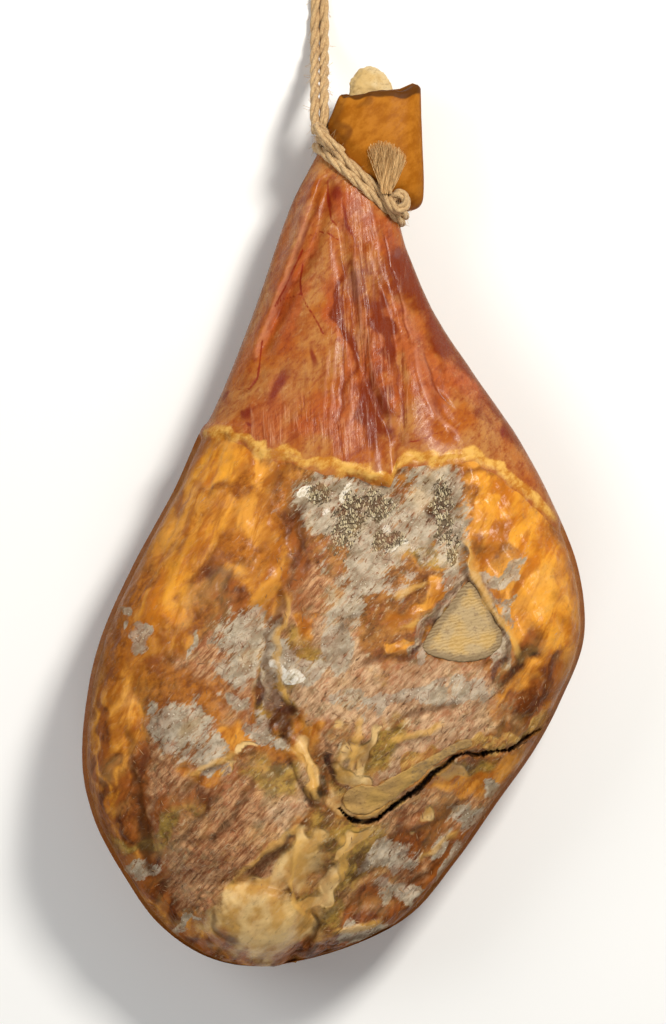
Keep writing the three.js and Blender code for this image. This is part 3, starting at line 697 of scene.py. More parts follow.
def oval_field(x, y, ovals, warp):
    """The union of ovals, drawn on a sheet that is stretched at random, so that none stays an oval."""
    across_x = x + warp * (5 * waves(x, y, 48, 1) + 2.6 * waves(x, y, 15, 2))
    across_y = y + warp * (5 * waves(x, y, 48, 3) + 2.6 * waves(x, y, 15, 4))
    field = np.zeros_like(x)
    for oval in ovals:
        field = np.maximum(field, 1.5 - oval_radius(across_x, across_y, *oval))
    return np.clip(field, 0, 1)


x, y, z = net.T
FAR = 99  # millimetres, where a distance no longer matters
SHARP = ("bruise", "cracked")  # patches that hardly change their shape
fields = {
    name: oval_field(x, y, ovals, 0.3 if name in SHARP else 1.0) * on_top
    for name, ovals in OVALS.items()
}
fields["vein"] = np.minimum.reduce([path_distance(x, y, vein) for vein in VEINS])
from_edge = y - rind_edge_y(x) + 2 * waves(x, y, 17, 9)
fields["from_edge"] = np.clip(from_edge * on_top + FAR * (1 - on_top), -FAR, FAR)
fields["meat"] = meat
fields["rim"] = rim * on_top + (1 - on_top)
fields["hock"] = smooth_step(-6, 6, y - np.interp(x, [-6, 42], [245, 197]))
print("fields:", ", ".join(fields))

# %% [markdown]
# ## Relief, with Geometry Nodes
#
# Muscle dries along its fibres, mould dries into a crust that cracks, rind wrinkles where the rope draws it
# together. These are rules, so a Geometry Nodes tree makes them: it pushes every point along its normal by
# a noise of the right grain, weighted by the map. Sculpting would do it too, but a rule can be tuned.

# %% Sums and patterns for both kinds of tree
def product(put, *factors):
    """All factors multiplied."""
    result = factors[0]
    for factor in factors[1:]:
        result = put("ShaderNodeMath", {0: result, 1: factor}, operation="MULTIPLY")
    return result


def total(put, a, b):
    """Two values added."""
    return put("ShaderNodeMath", {0: a, 1: b}, operation="ADD")


def centred(put, pattern):
    """A pattern that runs from 0 to 1, moved so that its middle is 0."""
    return put("ShaderNodeMath", {0: pattern, 1: 0.5}, operation="SUBTRACT")


def torn(put, value, pattern, amount):
    """A value whose rim a pattern tears, so that a cut through it is ragged."""
    return total(put, value, product(put, centred(put, pattern), amount))


def soft_cut(put, value, low, high, out_low=0.0, out_high=1.0):
    """The share of a finish: it rises softly while the value goes from low to high."""
    return put("ShaderNodeMapRange", {0: value, 1: low, 2: high, 3: out_low, 4: out_high},
               interpolation_type="SMOOTHSTEP")


def stretched(put, position, degrees, long_mm, wide_mm):
    """Coordinates in which one unit is long_mm along the grain, and upwards, and wide_mm across it."""
    turn = {"Vector": position, "Angle": -math.radians(degrees)}
    turned = put("ShaderNodeVectorRotate", turn, rotation_type="Z_AXIS")
    size = (1 / (long_mm * MM), 1 / (wide_mm * MM), 1 / (long_mm * MM))
    return put("ShaderNodeVectorMath", {0: turned, 1: size}, operation="MULTIPLY")


print("helpers for patterns: product, total, centred, torn, soft_cut, stretched")

# %% Build the relief tree
def relief_tree():
    """Push each point along its normal by lumps, fibres, creases and folds, where the map has them."""
    tree, put, given = geometry_tree("Dried relief", {
        "Lumps": "Float", "Fibres": "Float", "Creases": "Float", "Wrinkles": "Float", "Material": "Material",
    })
    field = {
        name: put("GeometryNodeInputNamedAttribute", {"Name": name}, data_type="FLOAT")
        for name in ("meat", "rim", "cream", "lean", "fat", "drawn", "free")
    }
    rest = put("GeometryNodeInputNamedAttribute", {"Name": "rest"}, data_type="FLOAT_VECTOR")

    def grain(degrees, long_mm, wide_mm, detail):
        place = stretched(put, rest, degrees, long_mm, wide_mm)
        noise = {"Vector": place, "Scale": 1.0, "Detail": detail, "Roughness": 0.55}
        return centred(put, put("ShaderNodeTexNoise", noise))

    def less(name, share=1.0):
        """1 outside a finish, and lower by this share inside it."""
        inside = product(put, field[name], share) if share != 1.0 else field[name]
        return put("ShaderNodeMath", {0: 1.0, 1: inside}, operation="SUBTRACT")

    on_both = total(put, product(put, field["meat"], 0.8), 0.2)
    lumps = product(put, grain(40, 30, 22, 3), given["Lumps"], on_both, less("cream", 0.5))
    fibres = product(put, grain(50, 26, 4.6, 2), given["Fibres"], field["lean"], field["meat"])
    crease = put("ShaderNodeMath", {0: grain(34, 24, 13, 3)}, operation="ABSOLUTE")
    crease = soft_cut(put, crease, 0.0, 0.045, -1.0, 0.0)
    crease = product(put, crease, given["Creases"], field["meat"], less("fat", 0.7), less("cream", 0.8))
    folds = product(put, grain(96, 60, 7, 3), given["Wrinkles"], less("meat"), field["drawn"])
    height = total(put, total(put, lumps, fibres), total(put, crease, folds))
    calm = soft_cut(put, field["rim"], 1.0, 0.93, 0.25, 1.0)
    height = product(put, height, calm, field["free"], MM)
    normal = put("GeometryNodeInputNormal")
    offset = put("ShaderNodeVectorMath", {0: normal, "Scale": height}, operation="SCALE")
    finish_tree(put, put("GeometryNodeSetPosition", {"Geometry": given["Geometry"], "Offset": offset}))
    return tree


RELIEF = relief_tree()
print("relief nodes:", len(RELIEF.nodes))

# %% [markdown]
# Some places need more than noise. The bones lie in shallow beds. Below the sawn edge of the hip bone runs
# a deep crack, where the meat shrank away from it: a band along a path, wide on the left and a hair on the
# right. The relief dies out under the ham, where its weight presses the rind flat.

# %% Beds for the bones, the crack and a flat resting spot
CRACK = [
    # x, y, half width of the band in which the meat tore
    (3, -185, 1.0), (9, -191, 1.7), (18, -193.5, 2.2), (27, -192, 2.4), (34, -186.5, 2.3),
    (45, -178.5, 2.2), (56, -170.5, 2.1), (61.5, -163.5, 1.9), (70, -158.5, 1.6), (76, -152.5, 1.4),
    (85, -150, 1.3), (93, -151, 1.2), (101, -149, 1.2), (112, -148.5, 1.1), (124, -141, 1.0),
    (133, -136, 0.7),
]
CRACK_OPEN = 0.52  # the share of the band that stands open
CRACK_DEPTH = 13
HIP_FACE = [
    (86, -41), (97, -52), (104, -66), (107, -79), (98, -89), (83, -92), (68, -90), (56, -84),
    (61, -72), (73, -56),
]
HIP_EDGE = [
    (5, -181), (9, -173), (17, -170), (26, -171), (35, -166), (46, -160), (57, -154), (68, -148),
    (77, -143), (87, -141), (88, -145.5), (79, -148), (71, -153), (62, -158.5), (54.5, -166.5),
    (44, -174), (34, -182), (26, -187), (17, -189), (9, -187),
]
BED_DEPTH = 4.0


def inside(x, y, outline):
    """Which points lie inside a closed outline, by counting crossings."""
    found = np.zeros(np.shape(x), bool)
    for (ax, ay), (bx, by) in zip(outline, np.roll(outline, -1, axis=0)):
        crosses = (ay > y) != (by > y)
        with np.errstate(divide="ignore", invalid="ignore"):
            at = ax + (y - ay) / (by - ay) * (bx - ax)
        found ^= crosses & (x < at)
    return found


def depth_inside(x, y, points):
    """Millimetres inside the outline, negative outside it."""
    outline = smooth_line(points, 60, closed=True)
    distance = path_distance(x, y, np.vstack([outline, outline[:1]]))
    return np.where(inside(x, y, outline), distance, -distance)


deep = np.maximum(depth_inside(x, y, HIP_FACE), depth_inside(x, y, HIP_EDGE))
net[:, 2] -= BED_DEPTH * smooth_step(0.3, 2.5, deep) * on_top
crack_line = smooth_line(CRACK, 90)
crack_half = CRACK_OPEN * np.interp(x, crack_line[:, 0], crack_line[:, 2])
crack = crack_half * (1 + 0.15 * waves(x, y, 9, 6)) - path_distance(x, y, crack_line[:, :2])
crack = np.clip(np.where(on_top > 0, crack, -FAR), -FAR, FAR)
net[:, 2] -= CRACK_DEPTH * smooth_step(-1.0, 1.0, crack)
fields["crack"] = crack
fields["sinew"], fields["furrow"] = np.zeros_like(x), np.zeros_like(x)
for lines, where, shake in (
    (WRINKLES, 0.75 * on_top * (1 - meat), 0.8 * waves(x, y, 19, 7)),
    (MEAT_LINES, on_top * meat, 1.3 * waves(x, y, 13, 7)),
):
    for path, width, rise in lines:
        ends = np.minimum(*(np.hypot(x - px, y - py) for px, py in (path[0], path[-1])))
        profile = ridge(path, width, 1)(x + shake, y) * smooth_step(0, 14, ends) * where
        net[:, 2] += rise * profile
        kind = "sinew" if rise > 0 else "furrow"
        fields[kind] = np.maximum(fields[kind], profile)
fields["membrane"] = np.zeros_like(x)
for path, width, rise in MEMBRANES:
    profile = ridge(path, width, 1)(x + 1.5 * waves(x, y, 13, 7), y) * on_top * meat
    net[:, 2] += rise * profile
    fields["membrane"] = np.maximum(fields["membrane"], profile)
fields["free"] = smooth_step(0.5, 12, z) * (1 - smooth_step(-4, -0.5, deep) * on_top)
fields["drawn"] = smooth_step(20, 120, y) * (1 - fields["hock"])
fields["cut"] = smooth_step(267.5, 270.5, y)
net[:, 1] += smooth_step(250, 268, y) * (1.3 * waves(x, z, 15, 21) + 3.2 * np.exp(-((x - 54) / 6) ** 2))
net[:, 2] = np.maximum(net[:, 2], 0)
print("points in the bone beds:", int((deep > 0).sum()))

# %% [markdown]
# ## The ham's material
#
# The real surface is layered, so the material is too. It starts from brown dried meat and lays one finish
# over the other: lean, fat, brown and olive patches, cream sinew, mould, then the rind with its veins and
# bruises. Some of it paints light: the dark patches, part of the brown, and the tints in the grooves, in the
# crack and round the rim are painted shade, and the pale tints on the rind's ridges and fine folds are
# painted highlights. Each layer has a light and a dark tone, mixed by a pattern whose grain is given in
# millimetres, and its own roughness: fat and rind are greasy, mould is chalk-dry.

# %% Layers of the meat side
MEAT_LAYERS = [
    # field, light, dark, pattern, softness of the rim, raggedness, roughness
    ("lean", "#CA986A", "#814D2A", "grain", 0.40, 1.0, 0.46),
    ("fat", "#DA953A", "#A35D19", "streaks", 0.45, 0.8, 0.25),
    ("amber", "#B26C22", "#7E4412", "mottle", 0.80, 1.3, 0.26),
    ("roll", "#E29A32", "#BE6F1E", "streaks", 0.60, 0.9, 0.22),
    # Partly real brown patches, partly painted shade along the ham's rim, mostly at the lower left.
    ("brown", "#94521E", "#56290C", "streaks", 0.80, 1.0, 0.32),
    ("pink", "#D3AC84", "#9A7350", "fibres", 0.45, 1.1, 0.66),
    ("olive", "#A98539", "#62471C", "mottle", 0.70, 1.0, 0.42),
    ("cream", "#DEB97B", "#C3944D", "cloud", 0.40, 0.7, 0.34),
    ("mould", "#C4B49C", "#94836B", "mottle", 0.26, 1.7, 0.92),
    ("membrane", "#B9A68A", "#6F5A42", "grain", 0.35, 0.7, 0.60),
    ("ledge", "#CFA257", "#94692F", "grain", 0.40, 0.9, 0.55),
    # Painted shade: the dark patches in the grooves and hollows.
    ("dark", "#502B0E", "#20100A", "mottle", 0.90, 1.2, 0.30),
    ("chip", "#F0E9DA", "#C9B99C", "dust", 0.10, 1.1, 0.90),
]
MEAT_TINTS = [
    # pattern, low, high, share, colour, what tears it, only where
    ("cloud", 0.50, 0.70, 0.35, "#7A3E12", None, None),  # slow changes, as drying leaves them
    ("cloud", 0.48, 0.30, 0.22, "#E2B56A", None, None),
    ("dust", 0.44, 0.32, 0.75, "#36200F", None, "dry"),  # darker in the fine creases of dry meat
    ("grain", 0.60, 0.74, 0.45, "#D9BF98", None, "dry"),  # dust on the ribs
    ("rag_a", 0.50, 0.63, 0.40, "#A85C34", None, "bare"),
    ("rag_b", 0.52, 0.65, 0.50, "#7F6C48", None, "bare"),
    ("rag_c", 0.56, 0.69, 0.35, "#C08F4A", None, "bare"),
    ("fleck", 0.55, 0.68, 0.35, "#9C4C2A", None, "bare"),
    ("powder", 0.56, 0.69, 0.50, "#DCC8A0", None, "bare"),
    ("sinew", 0.30, 0.95, 0.60, "#D7A553", ("rag_a", 0.8), None),
    # Painted shade: the seams and grooves of the meat are coloured darker brown.
    ("furrow", 0.20, 1.00, 0.60, "#4A280F", ("rag_b", 0.9), None),
    # Painted shade: the open crack is coloured near black inside.
    ("crack", -1.00, 0.60, 1.00, "#26150A", ("rag_b", 1.2), None),
]
RIND_TINTS = [
    ("blush", 0.10, 1.10, 0.65, "#AE4C26", ("rag_a", 1.0), None),
    ("rag_b", 0.45, 0.66, 0.60, "#9C4A1C", None, None),
    ("fleck", 0.50, 0.64, 0.50, "#8E3A16", None, None),
    ("folds", 0.52, 0.70, 0.55, "#8A3D12", None, None),
    ("powder", 0.56, 0.70, 0.40, "#CE9C68", None, None),
    # Painted shade: the furrow beside the tendon and the wrinkles' grooves are coloured dark red.
    ("furrow", 0.30, 0.95, 0.80, "#6C240C", ("rag_a", 0.5), None),
    # Painted highlight: a pale pink along the tendon and the crests of the wrinkles.
    ("sinew", 0.30, 1.00, 0.42, "#DDA084", ("rag_a", 0.6), None),
    ("flush", -0.30, 0.85, 0.92, "#6E2406", ("fleck", 0.8), None),
    ("mauve", 0.20, 1.20, 0.60, "#7A4A42", ("rag_b", 0.6), None),
    ("bruise", -0.10, 1.10, 0.80, "#701812", ("rag_a", 0.9), None),
    ("vein", 0.90, 0.20, 0.85, "#80200F", ("rag_a", 1.6), None),
    # Painted highlight on the crests of the fine folds, and painted shade in their troughs, where the rind
    # is crinkled.
    ("fine_folds", 0.52, 0.70, 0.40, "#D89F76", None, "gathered"),
    ("fine_folds", 0.48, 0.32, 0.65, "#7A2C0E", None, "gathered"),
]
HOCK_TINTS = [
    # Real stains, and painted shade in the strip down the hock's left edge.
    ("stain", 0.00, 1.20, 0.60, "#5F3413", ("rag_a", 0.6), None),
    ("cut", 0.30, 0.90, 0.85, "#43240C", ("rag_b", 0.5), None),
]
print("layers:", len(MEAT_LAYERS), "tints:", len(MEAT_TINTS + RIND_TINTS + HOCK_TINTS))

# %% [markdown]
# Every layer and tint follows a pattern. The patterns are noises whose grain has a direction and a real
# size: muscle fibres are about 2 mm wide and run aslant over the ham, mould powder is as fine as the
# picture can show, drying changes the colour over a few centimetres. The map's fields join them by name.

# %% Patterns with a grain
GRAINS = {
    # degrees, length and width in millimetres, detail, roughness, distortion
    "rags": (38, 13, 8, 5, 0.7, 0.0),
    "grain": (48, 12, 2.4, 4, 0.72, 0.0),
    "dust": (48, 7, 2.5, 5, 0.72, 0.0),
    "streaks": (64, 32, 12, 4, 0.56, 0.9),
    "cloud": (40, 40, 26, 3, 0.55, 0.0),
    "pools": (50, 17, 11, 3, 0.5, 0.0),
    "folds": (95, 40, 9, 4, 0.62, 0.0),
    "fine_folds": (93, 30, 2.1, 3, 0.62, 0.5),
    "cushions": (60, 12, 8, 2, 0.5, 0.0),
}


def ham_patterns(put):
    """Every field of the map and every noise, by name."""
    found = {name: put("ShaderNodeAttribute", attribute_name=name).node.outputs["Fac"] for name in fields}
    found["rest"] = put("ShaderNodeAttribute", attribute_name="rest").node.outputs["Vector"]
    for name, (degrees, long_mm, wide_mm, detail, rough, distortion) in GRAINS.items():
        found[name] = put("ShaderNodeTexNoise", {
            "Vector": stretched(put, found["rest"], degrees, long_mm, wide_mm), "Scale": 1.0,
            "Detail": detail, "Roughness": rough, "Distortion": distortion,
        })
    rags = found["rags"].node.outputs["Color"]
    dust = found["dust"].node.outputs["Color"]
    rags, dust = (put("ShaderNodeSeparateColor", {"Color": noise}).node.outputs for noise in (rags, dust))
    found["rag_a"], found["rag_b"], found["rag_c"] = rags
    found["fleck"], found["powder"] = dust[1:]
    found["flush"] = torn(put, found["flush"], found["rag_b"], 0.8)
    found["gathered"] = soft_cut(put, torn(put, found["crinkled"], found["rag_c"], 1.4), 0.2, 0.9)
    return found


def ham_tones(put, patterns):
    """The patterns that mix a layer's dark and light colour."""
    fibres = total(put, product(put, patterns["dust"], 0.45), product(put, patterns["grain"], 0.55))
    streaks = total(put, product(put, patterns["streaks"], 0.85), product(put, patterns["dust"], 0.15))
    return {
        "grain": soft_cut(put, patterns["grain"], 0.36, 0.64),
        "dust": soft_cut(put, patterns["dust"], 0.38, 0.6),
        "fibres": soft_cut(put, fibres, 0.4, 0.6),
        "cloud": soft_cut(put, patterns["pools"], 0.38, 0.6),
        "streaks": soft_cut(put, streaks, 0.38, 0.6),
        "mottle": soft_cut(put, patterns["rag_c"], 0.38, 0.62),
    }


print("grains:", ", ".join(GRAINS))

# %% Lay colours over each other
def over(put, share, under, top):
    """One colour laid over another. Either may be a hex colour or the result of a node."""
    under, top = (linear(c) if isinstance(c, str) else c for c in (under, top))
    return put("ShaderNodeMix", {0: share, 6: under, 7: top}, data_type="RGBA")


def tinted(put, colour, patterns, tints):
    """A colour with thin tints over it, each where its pattern passes from low to high."""
    for name, low, high, share, hex_colour, tear, where in tints:
        value = torn(put, patterns[name], patterns[tear[0]], tear[1]) if tear else patterns[name]
        mask = soft_cut(put, value, low, high, 0.0, share)
        colour = over(put, product(put, mask, patterns[where]) if where else mask, colour, hex_colour)
    return colour


def crusted(put, colour, patterns, film):
    """A colour under the mould's dry crust: hair cracks, and pale flakes that stand apart over dark meat."""
    shaken = {0: patterns["rags"].node.outputs["Color"], "Scale": 6 * MM}
    shaken = put("ShaderNodeVectorMath", shaken, operation="SCALE")
    shaken = put("ShaderNodeVectorMath", {0: patterns["rest"], 1: shaken}, operation="ADD")
    crazing, flakes = (
        {"Vector": stretched(put, shaken, *grain), "Scale": 1.0} for grain in ((66, 8, 4.5), (98, 3.0, 1.15))
    )
    to_edge = {"feature": "DISTANCE_TO_EDGE", "voronoi_dimensions": "2D"}
    crazing = soft_cut(put, put("ShaderNodeTexVoronoi", crazing, **to_edge), 0.06, 0.015)
    crazing = product(put, crazing, soft_cut(put, patterns["rag_a"], 0.5, 0.62), film, 0.6)
    colour = over(put, crazing, colour, "#3B2A1A")
    gap = soft_cut(put, put("ShaderNodeTexVoronoi", flakes, **to_edge), 0.06, 0.22)
    flake = put("ShaderNodeTexVoronoi", flakes, voronoi_dimensions="2D").node.outputs["Color"]
    flake = over(put, soft_cut(put, flake, 0.3, 0.75), "#6B5A45", "#CFBF98")
    cracked = torn(put, torn(put, patterns["cracked"], patterns["rag_b"], 2.0), patterns["dust"], 2.4)
    return over(put, soft_cut(put, cracked, 0.6, 0.75, 0.0, 0.95), colour, over(put, gap, "#2B1D12", flake))


def meat_finish(put, patterns, tones):
    """Colour and roughness of the bare meat side."""
    colour = over(put, tones["mottle"], "#6E3F18", "#A56C30")
    rough = soft_cut(put, tones["mottle"], 0, 1, 0.5, 0.4)
    for number, (name, light, dark, pattern, soft, tear, layer_rough) in enumerate(MEAT_LAYERS):
        mask = torn(put, patterns[name], patterns[("rag_a", "rag_b")[number % 2]], tear)
        if name == "mould":
            mask = torn(put, mask, patterns["grain"], 1.5)
        mask = soft_cut(put, mask, 0.5 - soft / 2, 0.5 + soft / 2)
        if name == "mould":
            # A film of powder: it thins out over every rib of the meat.
            on_dust = soft_cut(put, patterns["dust"], 0.36, 0.44, 0.25, 1.0)
            mask = film = product(put, mask, on_dust, soft_cut(put, patterns["grain"], 0.36, 0.46, 0.5, 1.0))
        colour = over(put, mask, colour, over(put, tones[pattern], dark, light))
        rough = put("ShaderNodeMix", {0: mask, 2: rough, 3: layer_rough})
    colour = crusted(put, colour, patterns, film)
    dry = soft_cut(put, rough, 0.3, 0.5, 0.25, 1.0)
    bare = product(put, dry, soft_cut(put, film, 0, 1, 1, 0.35))
    return tinted(put, colour, patterns | {"dry": dry, "bare": bare}, MEAT_TINTS), rough


def rind_finish(put, patterns, tones):
    """Colour and roughness of the waxy rind, which the red of the meat shines through."""
    skin = over(put, soft_cut(put, patterns["cloud"], 0.38, 0.62), "#B67C42", "#AC5F20")
    skin = tinted(put, skin, patterns, RIND_TINTS)
    hock = tinted(put, over(put, tones["mottle"], "#955610", "#AC6B1E"), patterns, HOCK_TINTS)
    rough = soft_cut(put, patterns["fleck"], 0.35, 0.65, 0.18, 0.36)
    rough = total(put, rough, product(put, patterns["hock"], 0.2))
    return over(put, patterns["hock"], skin, hock), rough


print("tints laid over the meat:", len(MEAT_TINTS))

# %% Put the ham's material together
def ham_bump(put, patterns):
    """Relief too fine for the mesh: fibres and cushions on the meat, folds on the rind."""
    greasy = put("ShaderNodeMath", {0: patterns["fat"], 1: patterns["cream"]}, operation="MAXIMUM")
    flesh = total(put, product(put, patterns["dust"], 0.28), product(put, patterns["grain"], 0.6))
    flesh = product(put, flesh, soft_cut(put, greasy, 0.4, 0.7, 1.0, 0.3))
    padded = product(put, patterns["cushions"], soft_cut(put, patterns["cream"], 0.2, 0.8, 0.9, 0.35))
    flesh = total(put, flesh, padded)
    drawn = total(put, product(put, patterns["drawn"], 0.15), product(put, patterns["crinkled"], 0.42))
    waxy = total(put, product(put, patterns["fine_folds"], drawn), product(put, patterns["dust"], 0.16))
    height = put("ShaderNodeMix", {0: soft_cut(put, patterns["meat"], 0, 1), 2: waxy, 3: flesh})
    return put("ShaderNodeBump", {"Height": height, "Strength": 0.8, "Distance": 2.2 * MM})


def ham_material():
    """Meat and rind in one material, with a torn lip of fat where the rind was cut."""
    material, put = new_material("Dried rind, fat and lean ham")
    patterns = ham_patterns(put)
    tones = ham_tones(put, patterns)
    meat_side, meat_rough = meat_finish(put, patterns, tones)
    skin, skin_rough = rind_finish(put, patterns, tones)
    on_rind = soft_cut(put, patterns["meat"], 0.98, 0.9)
    colour = over(put, on_rind, meat_side, skin)
    rough = put("ShaderNodeMix", {0: on_rind, 2: meat_rough, 3: skin_rough})
    lip = torn(put, patterns["from_edge"], patterns["rag_a"], 8.0)
    on_lip = product(put, soft_cut(put, lip, 6.0, 3.5), soft_cut(put, lip, -6.0, -0.5))
    on_lip = product(put, on_lip, soft_cut(put, patterns["rim"], 0.995, 0.97), 0.9)
    colour = over(put, on_lip, colour, over(put, tones["mottle"], "#B4711F", "#E0AE56"))
    # Painted shade: the colour turns dark brown towards the ham's rim and over all of the underside, where
    # the surface turns away from the light.
    colour = over(put, soft_cut(put, patterns["rim"], 0.93, 0.999, 0.0, 0.65), colour, "#7E480F")
    gloss = soft_cut(put, patterns["rim"], 0.6, 0.98, 0.22, 0.02)
    gloss = product(put, gloss, soft_cut(put, patterns["hock"], 0, 1, 1, 0.3))
    shader = put("ShaderNodeBsdfPrincipled", {
        "Base Color": colour, "Roughness": rough, "Normal": ham_bump(put, patterns), "IOR": 1.45,
        "Specular IOR Level": gloss,
    })
    put("ShaderNodeOutputMaterial", {"Surface": shader})
    return material


HAM_FINISH = ham_material()
print("ham material nodes:", len(HAM_FINISH.node_tree.nodes))

# %% Make the ham
ham_mesh = mesh_from(net + SHIFT, fans[:column_count] + quads + fans[column_count:])
store(ham_mesh, "rest", net * MM)
for name, values in fields.items():
    store(ham_mesh, name, values)
rough_ham = new_piece("rough", ham_mesh)
ham = bake(
    "cured_ham", rough_ham, RELIEF,
    Lumps=9.0, Fibres=2.4, Creases=1.3, Wrinkles=1.5, Material=HAM_FINISH,
)

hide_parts("ham")
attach(ham, "root")

# %% [markdown]
# ## Flakes and fibres
#
# Mould dries into small pale flakes, and the cut muscle ends in loose fibres. They are too small to paint
# well, because each throws a shadow. A tree scatters them over the finished skin: it reads the map again,
# so flakes lie where mould grows and fibres where the meat is lean, and turns each one into the surface.

# %% Scatter flakes and dried fibres
FLAKE_TURN, FIBRE_TURN = 1.5, 0.85  # radians to the way that they lie


def scatter_tree(name, shape, turn):
    """Crumbs of one shape all over a surface, turned along the grain and tilted a little."""
    tree, put, given = geometry_tree(name, {
        "Per square metre": "Float", "Length": "Float", "Seed": "Int", "Material": "Material",
    })

    def chance(low, high, seed):
        return put("FunctionNodeRandomValue", {"Min": low, "Max": high, "Seed": seed}, data_type="FLOAT")

    where = put("GeometryNodeInputNamedAttribute", {"Name": "where"}, data_type="FLOAT")
    density = put("ShaderNodeMath", {0: where, 1: given["Per square metre"]}, operation="MULTIPLY")
    spots = put("GeometryNodeDistributePointsOnFaces", {
        "Mesh": given["Geometry"], "Density": density, "Seed": given["Seed"],
    })
    facing = spots.node.outputs["Rotation"]
    grain = total(put, chance(-0.3, 0.3, 1), turn)
    spin = put("FunctionNodeAxisAngleToRotation", {"Axis": (0, 0, 1), "Angle": grain})
    tilt = put("FunctionNodeAxisAngleToRotation", {"Axis": (0, 1, 0), "Angle": chance(-0.35, 0.35, 2)})
    turned = facing
    for step in (spin, tilt):
        turned = {"Rotation": turned, "Rotate By": step}
        turned = put("FunctionNodeRotateRotation", turned, rotation_space="LOCAL")
    crumb = put("GeometryNodeMeshIcoSphere", {"Radius": 0.5, "Subdivisions": 1})
    size = put("ShaderNodeVectorMath", {0: shape, "Scale": given["Length"]}, operation="SCALE")
    size = put("ShaderNodeVectorMath", {0: size, "Scale": chance(0.35, 1.2, 3)}, operation="SCALE")
    pieces = put("GeometryNodeInstanceOnPoints", {
        "Points": spots, "Instance": crumb, "Rotation": turned, "Scale": size,
    })
    finish_tree(put, pieces)
    return tree


def crumb_material(name, light, dark, rough, speck_mm):
    """Dry and dull: the tone only changes from crumb to crumb, so one noise of their spacing is enough."""
    material, put = new_material(name)
    place = put("ShaderNodeTexCoord").node.outputs["Object"]
    tone = put("ShaderNodeTexNoise", {"Vector": place, "Scale": 1 / (speck_mm * MM), "Detail": 2.0})
    colour = over(put, soft_cut(put, tone, 0.35, 0.65), dark, light)
    shader = put("ShaderNodeBsdfPrincipled", {"Base Color": colour, "Roughness": rough})
    put("ShaderNodeOutputMaterial", {"Surface": shader})
    return material


def scatter(name, tree, where, **values):
    """Scatter on a copy of the ham that carries the wanted density, but not into the crack."""
    copy = new_piece("copy", ham.data.copy())
    store(copy.data, "where", np.clip(where, 0, 1) * (fields["crack"] < -2))
    piece = bake(name, copy, tree, **values)
    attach(piece, "root")


mould_film = smooth_step(0.45, 0.9, fields["mould"]) * smooth_step(-0.1, 0.9, waves(x, y, 16, 11))
flaky = np.maximum(mould_film, 0.8 * smooth_step(0.5, 1, fields["cracked"]))
scatter("mould_flakes", scatter_tree("Flakes", (1.0, 0.62, 0.3), FLAKE_TURN), flaky * meat * on_top, **{
    "Per square metre": 110000.0, "Length": 1.5 * MM, "Seed": 3,
    "Material": crumb_material("Dried mould flakes", "#DDD0B8", "#A39179", 0.95, 2.5),
})
fibrous = np.maximum(*(smooth_step(0.4, 1, fields[name]) for name in ("lean", "pink"))) * (1 - mould_film)
fibrous = fibrous * meat * on_top * (0.4 + 0.6 * smooth_step(-0.4, 0.6, waves(x, y, 24, 12)))
scatter("dried_fibres", scatter_tree("Fibres", (1.0, 0.08, 0.08), FIBRE_TURN), fibrous, **{
    "Per square metre": 40000.0, "Length": 5.5 * MM, "Seed": 5,
    "Material": crumb_material("Dried meat fibres", "#B48A5C", "#7A5130", 0.6, 6.0),
})

# %% [markdown]
# ## The bones
#
# Three ends of bone stand out of the meat. We could model them again, but the solid has their form, so each
# one is its own solid, remeshed finely, smoothed, and roughened by a small tree. Sawn bone is hard, fine
# and chalky, with a rim that old fat has stained, and a joint's end keeps a thin cap of yellow gristle.

# %% Bone relief and material
def bone_tree():
    """Low lumps and fine pits."""
    tree, put, given = geometry_tree("Bone surface", {
        "Lump": "Float", "Lump size": "Float", "Pits": "Float", "Material": "Material",
    })
    place = put("GeometryNodeInputPosition")
    per_metre = put("ShaderNodeMath", {0: 1.0, 1: given["Lump size"]}, operation="DIVIDE")
    lump = put("ShaderNodeTexNoise", {"Vector": place, "Scale": per_metre, "Detail": 2.0})
    pit = put("ShaderNodeTexNoise", {"Vector": place, "Scale": 1 / (1.8 * MM), "Detail": 2.0})
    lump = product(put, centred(put, lump), given["Lump"])
    pit = product(put, centred(put, pit), given["Pits"])
    normal = put("GeometryNodeInputNormal")
    offset = put("ShaderNodeVectorMath", {0: normal, "Scale": total(put, lump, pit)}, operation="SCALE")
    finish_tree(put, put("GeometryNodeSetPosition", {"Geometry": given["Geometry"], "Offset": offset}))
    return tree


BONE_SURFACE = bone_tree()


